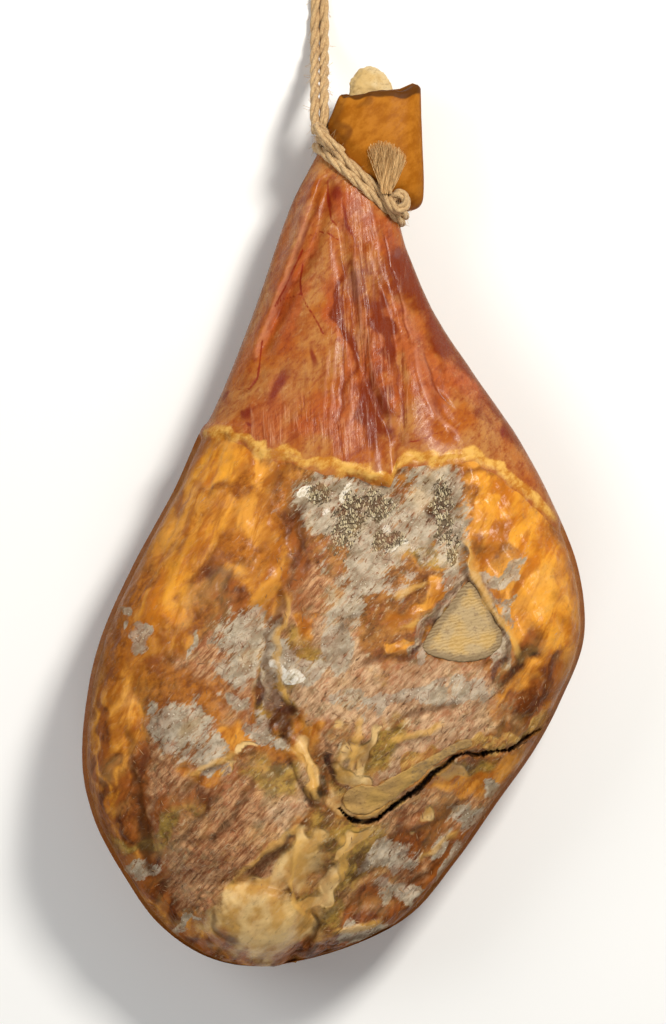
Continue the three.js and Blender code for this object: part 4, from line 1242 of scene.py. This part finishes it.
def bone_material(name, light, dark, stain, rings):
    """Sawn or bare bone: chalky, with growth lines about a millimetre apart and brown stains."""
    material, put = new_material(name)
    place = put("ShaderNodeTexCoord").node.outputs["Object"]
    warp = put("ShaderNodeTexNoise", {"Vector": place, "Scale": 1 / (14 * MM), "Detail": 3.0})
    lines = put("ShaderNodeTexWave", {
        "Vector": stretched(put, place, 14, 1, 1), "Scale": 0.15, "Distortion": 10.0, "Detail": 4.0,
        "Detail Scale": 0.8, "Detail Roughness": 0.6,
    }, bands_direction="Y")
    spots = put("ShaderNodeTexNoise", {
        "Vector": stretched(put, place, 20, 3.4, 2.2), "Scale": 1.0, "Detail": 6.0, "Roughness": 0.7,
    })
    broken = product(put, soft_cut(put, warp, 0.4, 0.56, 0.25, 1.0), rings)
    lines = put("ShaderNodeMix", {0: broken, 2: spots, 3: lines})
    colour = over(put, lines, dark, light)
    colour = over(put, soft_cut(put, spots, 0.5, 0.66, 0.0, 0.6), colour, stain)
    cloudy = put("ShaderNodeMapRange", {0: warp, 1: 0.42, 2: 0.6, 4: 0.55})
    colour = over(put, cloudy, colour, "#C09646")
    inset = put("ShaderNodeAttribute", attribute_name="inset").node.outputs["Fac"]
    inset = put("ShaderNodeMath", {0: spots, 1: 11.0, 2: inset}, operation="MULTIPLY_ADD")
    rim = soft_cut(put, inset, 12.0, 8.0, 0.0, 0.85)
    colour = over(put, rim, colour, over(put, lines, "#5F4526", "#9A8460"))
    height = total(put, lines, spots)
    bump = put("ShaderNodeBump", {"Height": height, "Strength": 0.5, "Distance": 0.6 * MM})
    shader = put("ShaderNodeBsdfPrincipled", {
        "Base Color": colour, "Roughness": 0.72, "IOR": 1.5, "Normal": bump,
    })
    put("ShaderNodeOutputMaterial", {"Surface": shader})
    return material


def store_inset(mesh, outline):
    """How many millimetres each point lies inside the bone's outline, for its stained rim.

    The long sawn edge has no outline here: its left end is clean bone, and the stain grows to the right.
    """
    spots = np.empty(3 * len(mesh.vertices))
    mesh.vertices.foreach_get("co", spots)
    px, py = spots.reshape(-1, 3)[:, :2].T / MM - SHIFT[:2, None]
    store(mesh, "inset", depth_inside(px, py, outline) if outline else np.interp(px, [30, 50], [20.0, 5.0]))


def remeshed(node, voxel_mm, smoothing):
    """A fine, evenly meshed copy of a solid's mesh."""
    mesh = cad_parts[node].data.copy()
    mesh.materials.clear()
    copy = new_piece("copy", mesh)
    shape = bmesh.new()
    shape.from_mesh(mesh)
    bmesh.ops.remove_doubles(shape, verts=shape.verts, dist=1e-6)
    shape.to_mesh(mesh)
    shape.free()
    voxels = copy.modifiers.new("voxels", "REMESH")
    voxels.mode, voxels.voxel_size = "VOXEL", voxel_mm * MM
    soft = copy.modifiers.new("soft", "SMOOTH")
    soft.iterations, soft.factor = smoothing, 0.5
    return copy


SAWN_BONE = bone_material("Sawn hip bone", "#CBB183", "#8F7244", "#66482A", 0.6)
SAWN_RIM = bone_material("Sawn edge of the hip bone", "#C9A261", "#8E6731", "#6A4420", 0.1)
JOINT_BONE = bone_material("Joint end with gristle", "#E2D0A6", "#BC9A5E", "#7E5C2E", 0.0)
for name, node, finish, lump_mm, outline in (
    ("hip_bone_face", "hip_bone", SAWN_BONE, 2.0, HIP_FACE),
    ("hip_bone_rim", "hip_bone_edge", SAWN_RIM, 3.0, None),
    ("shin_bone_end", "hock_bone", JOINT_BONE, 6.0, None),
):
    bone = bake(
        name, remeshed(node, 0.8, 4), BONE_SURFACE,
        **{"Lump": lump_mm * MM, "Lump size": 9 * MM, "Pits": 0.7 * MM, "Material": finish},
    )
    store_inset(bone.data, outline)
    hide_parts(node)
    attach(bone, "root")

# %% [markdown]
# ## The rope
#
# Jute rope is laid: hairy yarns are twisted into three strands, and the strands into the rope the other
# way. A Geometry Nodes tree lays it along any curve. It copies the curve three times, turns each copy
# round the middle line by its length over the lay, and sweeps a ridged section along it. A texture on a
# plain tube would look printed, and here the strands catch the light.

# %% Build the rope tree
LAY = 38  # millimetres in which a strand goes once round
STRAND = ROPE / 2  # three strands pressed into each other fill the rope's width
STRANDS, YARNS = 3, 7
YARN_LAY = 9  # the same for a yarn in its strand


def rope_tree():
    """Strands round a middle line, each swept from a round section and ridged by its yarns."""
    tree, put, given = geometry_tree("Three-strand rope", {
        "Strand radius": "Float", "Lay": "Float", "Step": "Float", "Material": "Material",
    })

    step = {"Curve": given["Geometry"], "Length": given["Step"]}
    line = put("GeometryNodeResampleCurve", step, mode="LENGTH")
    copies = put("GeometryNodeDuplicateElements", {"Geometry": line, "Amount": STRANDS}, domain="SPLINE")
    number = copies.node.outputs["Duplicate Index"]
    place = put("GeometryNodeSplineParameter").node.outputs["Length"]
    length = put("GeometryNodeSplineLength")
    turns = put("ShaderNodeMath", {0: length, 1: given["Lay"]}, operation="DIVIDE")
    turns = put("ShaderNodeMath", {0: turns}, operation="ROUND")
    turns = put("ShaderNodeMath", {0: turns, 1: 1.0}, operation="MAXIMUM")
    share = put("ShaderNodeMath", {0: place, 1: length}, operation="DIVIDE")
    start = put("ShaderNodeMath", {0: number, 1: STRANDS}, operation="DIVIDE")
    angle = product(put, total(put, product(put, share, turns), start), math.tau)
    spoke = {
        "Vector": put("GeometryNodeInputNormal"), "Axis": put("GeometryNodeInputTangent"), "Angle": angle,
    }
    spoke = put("ShaderNodeVectorRotate", spoke, rotation_type="AXIS_ANGLE")
    offset = put("ShaderNodeVectorMath", {0: spoke, "Scale": given["Strand radius"]}, operation="SCALE")
    strands = put("GeometryNodeSetPosition", {"Geometry": copies, "Offset": offset})
    section = put("GeometryNodeCurvePrimitiveCircle", {"Resolution": 14, "Radius": given["Strand radius"]})
    way = put("GeometryNodeSplineParameter")
    strands, section = (
        put("GeometryNodeStoreNamedAttribute", {"Geometry": curve, "Name": name, "Value": value},
            data_type="FLOAT", domain="POINT")
        for curve, name, value in ((strands, "along", way.node.outputs["Length"]), (section, "around", way))
    )
    body = put("GeometryNodeCurveToMesh", {"Curve": strands, "Profile Curve": section, "Fill Caps": True})
    along, around = (
        put("GeometryNodeInputNamedAttribute", {"Name": name}, data_type="FLOAT")
        for name in ("along", "around")
    )
    twist = put("ShaderNodeMath", {0: along, 1: -YARN_LAY * MM}, operation="DIVIDE")
    yarn = product(put, total(put, product(put, around, YARNS), twist), math.tau)
    wave = put("ShaderNodeMath", {0: yarn}, operation="COSINE")
    place = put("GeometryNodeInputPosition")
    fuzz = put("ShaderNodeTexNoise", {"Vector": place, "Scale": 1 / (2.2 * MM), "Detail": 2.0})
    swell = total(put, product(put, wave, 0.14 * MM), product(put, centred(put, fuzz), 0.5 * MM))
    normal = put("GeometryNodeInputNormal")
    out = put("ShaderNodeVectorMath", {0: normal, "Scale": swell}, operation="SCALE")
    body = put("GeometryNodeSetPosition", {"Geometry": body, "Offset": out})
    finish_tree(put, body)
    return tree


def jute_material(name, light, dark):
    """Retted jute fibre: golden-tan, matt, with hair-fine yarns that run round each strand."""
    material, put = new_material(name)
    along = put("ShaderNodeAttribute", attribute_name="along").node.outputs["Fac"]
    around = put("ShaderNodeAttribute", attribute_name="around").node.outputs["Fac"]
    place = put("ShaderNodeTexCoord").node.outputs["Object"]
    twist = total(put, product(put, around, 5.0), product(put, along, -1 / (YARN_LAY * MM)))
    sheet = put("ShaderNodeCombineXYZ", {0: twist, 1: product(put, along, 1 / (14 * MM))})
    fibre = put("ShaderNodeTexNoise", {"Vector": sheet, "Scale": 7.0, "Detail": 4.0, "Roughness": 0.7})
    cloud = put("ShaderNodeTexNoise", {"Vector": place, "Scale": 1 / (11 * MM), "Detail": 3.0})
    shade = put("ShaderNodeMapRange", {0: cloud, 1: 0.4, 2: 0.65, 4: 0.35})
    colour = over(put, soft_cut(put, fibre, 0.32, 0.66), dark, light)
    colour = over(put, shade, colour, dark)
    bump = put("ShaderNodeBump", {"Height": fibre, "Strength": 0.6, "Distance": 0.35 * MM})
    shader = put("ShaderNodeBsdfPrincipled", {
        "Base Color": colour, "Roughness": 0.78, "IOR": 1.5, "Normal": bump, "Sheen Weight": 0.15,
    })
    put("ShaderNodeOutputMaterial", {"Surface": shader})
    return material


LAID_ROPE = rope_tree()
JUTE = jute_material("Laid jute", "#E4C48E", "#94693A")
print("strand diameter:", round(STRAND, 2), "mm")

# %% [markdown]
# Jute is never smooth: short fibres stand off the yarns everywhere. A hair is one bent wire with three
# sides, and a tree plants it on the rope's own mesh, turned and sized at random. The hairs are a piece of
# their own, so that the rope can still be measured without them.

# %% Build the hair tree
def hair_tree():
    """A bent hair on random spots of a surface."""
    tree, put, given = geometry_tree("Loose hairs", {
        "Per square metre": "Float", "Shortest": "Float", "Longest": "Float", "Seed": "Int",
        "Material": "Material",
    })
    spots = put("GeometryNodeDistributePointsOnFaces", {
        "Mesh": given["Geometry"], "Density": given["Per square metre"], "Seed": given["Seed"],
    })
    hair = put("GeometryNodeCurveQuadraticBezier", {
        "Resolution": 4, "Start": (0, 0, 0), "Middle": (0, 0.5, 0.12), "End": (0.15, 1.0, 0.45),
    })
    wire = put("GeometryNodeCurvePrimitiveCircle", {"Resolution": 3, "Radius": 0.022})
    hair = put("GeometryNodeCurveToMesh", {"Curve": hair, "Profile Curve": wire})
    spin = put("FunctionNodeRandomValue", {"Min": (0.0, 0.0, 0.0), "Max": (0.0, 0.0, math.tau), "Seed": 3},
               data_type="FLOAT_VECTOR")
    spin = put("FunctionNodeEulerToRotation", {"Euler": spin})
    turned = {"Rotation": spots.node.outputs["Rotation"], "Rotate By": spin}
    turned = put("FunctionNodeRotateRotation", turned, rotation_space="LOCAL")
    size = {"Min": given["Shortest"], "Max": given["Longest"], "Seed": 4}
    size = put("FunctionNodeRandomValue", size, data_type="FLOAT")
    finish_tree(put, put("GeometryNodeInstanceOnPoints", {
        "Points": spots, "Instance": hair, "Rotation": turned, "Scale": size,
    }))
    return tree


HAIRS = hair_tree()
HAIR_LIFT = 0.1 * MM


def grow_hairs(name, rope):
    """Loose hairs all over a rope, as a piece of their own. Those under the rope lie flat on the floor."""
    hairs = bake(name, new_piece("copy", rope.data.copy()), HAIRS, **{
        "Per square metre": 32000.0, "Shortest": 2 * MM, "Longest": 6 * MM, "Seed": 2, "Material": JUTE,
    })
    for vertex in hairs.data.vertices:
        vertex.co.z = max(vertex.co.z, HAIR_LIFT)
    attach(hairs, "root")
    return hairs


print("hair nodes:", len(HAIRS.nodes))

# %% Lay a rope along points
def line_object(points_mm, closed=False):
    """A curve object of straight stretches, which a tree can run on."""
    data = bpy.data.curves.new("line", "CURVE")
    data.dimensions = "3D"
    spline = data.splines.new("POLY")
    spline.points.add(len(points_mm) - 1)
    for point, place in zip(spline.points, np.asarray(points_mm) * MM):
        point.co = (*place, 1)
    spline.use_cyclic_u = closed
    line = bpy.data.objects.new("line", data)
    bpy.context.scene.collection.objects.link(line)
    return line


def lay_rope(name, points_mm, closed=False):
    return bake(name, line_object(points_mm, closed), LAID_ROPE, **{
        "Strand radius": STRAND / 2 * MM, "Lay": LAY * MM, "Step": 0.9 * MM,
        "Material": JUTE,
    })


print("a strand goes once round in", LAY, "mm")

# %% [markdown]
# ## The hanging loop
#
# The ham hung by a doubled rope. Now that it lies down, the loop falls from the hitch on to the surface and
# ends in the eye that a hook would hold. It is the one free cord here, so its route is fixed point by
# point, as in the solid model.

# %% Route of the hanging loop
STRAND_GAP = -0.5  # the two strands press into each other a little
LOOP_START = (-9.4, 255, 56)
LIFT = ROPE / 2 + 0.6  # height of the middle line, with room for the yarns' ridges
EYE_FROM, EYE_LENGTH, EYE_HALF = 350, 46, 15
apart = (ROPE + STRAND_GAP) / 2
route = [(apart * 0.7, LOOP_START[1] - 7, LOOP_START[2] - 2.5)]  # tucked under the hitch
route += [
    (apart, LOOP_START[1] + way, LIFT + (LOOP_START[2] - LIFT) * share)
    for way, share in ((0, 1), (12, 0.93), (26, 0.66), (42, 0.3), (58, 0.08), (72, 0))
]
route.append((apart, EYE_FROM, LIFT))
route += [
    (apart + (EYE_HALF - apart) * wide, EYE_FROM + way * EYE_LENGTH, LIFT)
    for way, wide in ((0.22, 0.5), (0.5, 0.94), (0.8, 0.86))
]
route = route + [(0, EYE_FROM + EYE_LENGTH, LIFT)] + [(-px, py, pz) for px, py, pz in route[::-1]]
route = np.array([(px + LOOP_START[0], py, pz) for px, py, pz in route]) + SHIFT
loop_line = smooth_line(route, 200)
loop = lay_rope("hanging_loop_rope", loop_line)
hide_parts("hanging_loop")
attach(loop, "root")
grow_hairs("loop_hairs", loop)

# %% [markdown]
# ## The noose
#
# Two turns lie side by side round the neck, sunk into the rind. On the right they end in a knot with a
# curl, on the left the hanging strands pass through a bight. Each is a curve in space, laid with the same
# tree, so the twist is the same everywhere.

# %% Turns, bight and knot
NECK = [3.82, 4.48]  # the turns' stations
STAND_OFF = 0.4  # height of the middle line over the rind, in rope diameters
angles = np.linspace(0, math.tau, 24, endpoint=False)
parts = []
for number, place in enumerate(NECK):
    ring = skin_point(place, np.cos(angles), np.sin(angles) > 0, out=STAND_OFF * ROPE) + SHIFT
    parts.append(lay_rope(f"turn_{number}", smooth_line(ring, 160, closed=True), closed=True))

hitch = skin_point(3.3, -0.86, True, out=1.0) + SHIFT
bight = hitch + [
    (8, -10, 5.5), (2, -5, 8), (-5, 1, 8), (-9, 6, 3), (-8, 7, -3), (-2, 3, -6), (4, -4, -5),
]
parts.append(lay_rope("bight", smooth_line(bight, 60)))

knot = skin_point(3.55, 0.62, True, out=ROPE * 0.7) + SHIFT
curl = knot + [
    (-13, 9, -2.5), (-8, 4, 1), (-3, -3, 3), (2, -7, 3.5), (6.5, -4, 3.5), (6, 1.5, 3.5), (1.5, 3, 3),
    (-1.5, 0, 0), (0, -6, -3), (5, -9, -4),
]
parts.append(lay_rope("curl", smooth_line(curl, 80)))


def join(name, pieces):
    with bpy.context.temp_override(active_object=pieces[0], selected_editable_objects=pieces):
        bpy.ops.object.join()
    pieces[0].name = name
    return pieces[0]


noose = join("noose_rope", parts)
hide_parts("noose")
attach(noose, "root")
grow_hairs("noose_hairs", noose)

# %% [markdown]
# ## The frayed end
#
# The cut end of the rope has come undone into a brush. Each fibre is a thin bent wire from the knot to a
# point near the brush's far edge. A tree draws a few hundred of them from one curve, the far edge, which
# keeps the script short and the fan easy to reshape.

# %% Build the brush tree
def brush_tree():
    """Bent, tapered wires from one root to random spots along a curve."""
    tree, put, given = geometry_tree("Brush of fibres", {
        "Root": "Vector", "Root size": "Float", "Count": "Int", "Thickness": "Float", "Bend": "Float",
        "Seed": "Int", "Material": "Material",
    })

    def chance(low, high, seed, kind="FLOAT"):
        number = fibres.node.outputs["Duplicate Index"]
        values = {"Min": low, "Max": high, "ID": number, "Seed": total(put, given["Seed"], float(seed))}
        return put("FunctionNodeRandomValue", values, data_type=kind)

    def sum_of(a, b):
        return put("ShaderNodeVectorMath", {0: a, 1: b}, operation="ADD")

    def scaled(vector, size):
        return put("ShaderNodeVectorMath", {0: vector, "Scale": size}, operation="SCALE")

    wire = put("GeometryNodeCurvePrimitiveLine")
    wire = put("GeometryNodeResampleCurve", {"Curve": wire, "Count": 7}, mode="COUNT")
    fibres = {"Geometry": wire, "Amount": given["Count"]}
    fibres = put("GeometryNodeDuplicateElements", fibres, domain="SPLINE")
    way = put("GeometryNodeSplineParameter")
    tip = {"Curves": given["Geometry"], "Factor": chance(0.0, 1.0, 1)}
    tip = put("GeometryNodeSampleCurve", tip, mode="FACTOR", use_all_curves=True).node.outputs["Position"]
    uneven = chance((-1.5 * MM, -5 * MM, -0.8 * MM), (1.5 * MM, 1.5 * MM, 1.6 * MM), 2, "FLOAT_VECTOR")
    tip = sum_of(tip, uneven)
    root = scaled(chance((-1, -0.5, -0.6), (1, 0.5, 0.6), 3, "FLOAT_VECTOR"), given["Root size"])
    root = sum_of(given["Root"], root)
    place = put("ShaderNodeMix", {0: way, 4: root, 5: tip}, data_type="VECTOR")
    hump = put("ShaderNodeMath", {0: product(put, way, math.pi)}, operation="SINE")
    bend = scaled(chance((-1, -0.3, -0.1), (1, 0.3, 1), 4, "FLOAT_VECTOR"), given["Bend"])
    bend = scaled(bend, hump)
    shaped = put("GeometryNodeSetPosition", {"Geometry": fibres, "Position": sum_of(place, bend)})
    section = put("GeometryNodeCurvePrimitiveCircle", {"Resolution": 4, "Radius": given["Thickness"]})
    taper = put("ShaderNodeMapRange", {0: way, 1: 0.0, 2: 1.0, 3: 1.0, 4: 0.45})
    shaped = put("GeometryNodeSetCurveRadius", {"Curve": shaped, "Radius": taper})
    body = {"Curve": shaped, "Profile Curve": section, "Scale": taper, "Fill Caps": True}
    finish_tree(put, put("GeometryNodeCurveToMesh", body))
    return tree


def fibre_material():
    """Loose jute fibres: straw-gold and drier than the rope, lighter where they catch the light."""
    material, put = new_material("Loose jute fibre")
    place = stretched(put, put("ShaderNodeTexCoord").node.outputs["Object"], 80, 14, 0.8)
    streak = put("ShaderNodeTexNoise", {"Vector": place, "Scale": 1.0, "Detail": 3.0})
    colour = over(put, soft_cut(put, streak, 0.35, 0.65), "#A97C42", "#E0B87C")
    shader = put("ShaderNodeBsdfPrincipled", {"Base Color": colour, "Roughness": 0.7, "Sheen Weight": 0.1})
    put("ShaderNodeOutputMaterial", {"Surface": shader})
    return material


BRUSH_TIPS = [(22.5, 236.5), (28, 240), (34, 239.5), (40, 236.5), (45.5, 232)]
tips = smooth_line([(px, py, 82.0) for px, py in BRUSH_TIPS], 30) + SHIFT
brush = bake(
    "frayed_fibres", line_object(tips), brush_tree(),
    **{
        "Root": tuple((np.array([33.5, 208.5, 79.5]) + SHIFT) * MM), "Root size": 3.2 * MM, "Count": 420,
        "Thickness": 0.2 * MM, "Bend": 1.6 * MM, "Seed": 7, "Material": fibre_material(),
    },
)
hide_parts("frayed_end")
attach(brush, "root")

# %% [markdown]
# ## Floor and light
#
# A pale floor and soft light from above, strongest from the upper right, show the ham as a studio would.
# Large lamps give the greasy rind long soft highlights instead of hard points.

# %% Set the stage
def floor_material():
    material, put = new_material("Matt white board")
    put("ShaderNodeOutputMaterial", {
        "Surface": put("ShaderNodeBsdfPrincipled", {"Base Color": linear("#F4F4F2"), "Roughness": 0.9}),
    })
    return material


FLOOR_HALF = 4.0
floor_mesh = bpy.data.meshes.new("floor")
corners = [(FLOOR_HALF * px, FLOOR_HALF * py, 0) for px, py in ((-1, -1), (1, -1), (1, 1), (-1, 1))]
floor_mesh.from_pydata(corners, [], [(0, 1, 2, 3)])
floor = new_piece("floor", floor_mesh, floor_material())

LAMPS = [
    # name, place and width in metres, watts, colour
    ("key", (0.7, 0.9, 1.5), 0.36, 33, "#FFFBF4"),
    ("fill", (-1.3, 0.4, 1.5), 1.0, 10, "#FFFFFF"),
    ("low", (-0.2, -1.6, 1.6), 1.0, 7, "#FFFFFF"),
]
for name, place, size, watts, colour in LAMPS:
    data = bpy.data.lights.new(name, "AREA")
    data.size, data.energy, data.color = size, watts, linear(colour)[:3]
    lamp = bpy.data.objects.new(name, data)
    lamp.location = place
    lamp.rotation_euler = (-Vector(place)).to_track_quat("-Z", "Y").to_euler()
    bpy.context.scene.collection.objects.link(lamp)

world = bpy.data.worlds.new("soft room")
world.use_nodes = True
world.node_tree.nodes["Background"].inputs["Color"].default_value = (1, 1, 1, 1)
world.node_tree.nodes["Background"].inputs["Strength"].default_value = 0.24
bpy.context.scene.world = world
print("lamps:", ", ".join(lamp[0] for lamp in LAMPS))
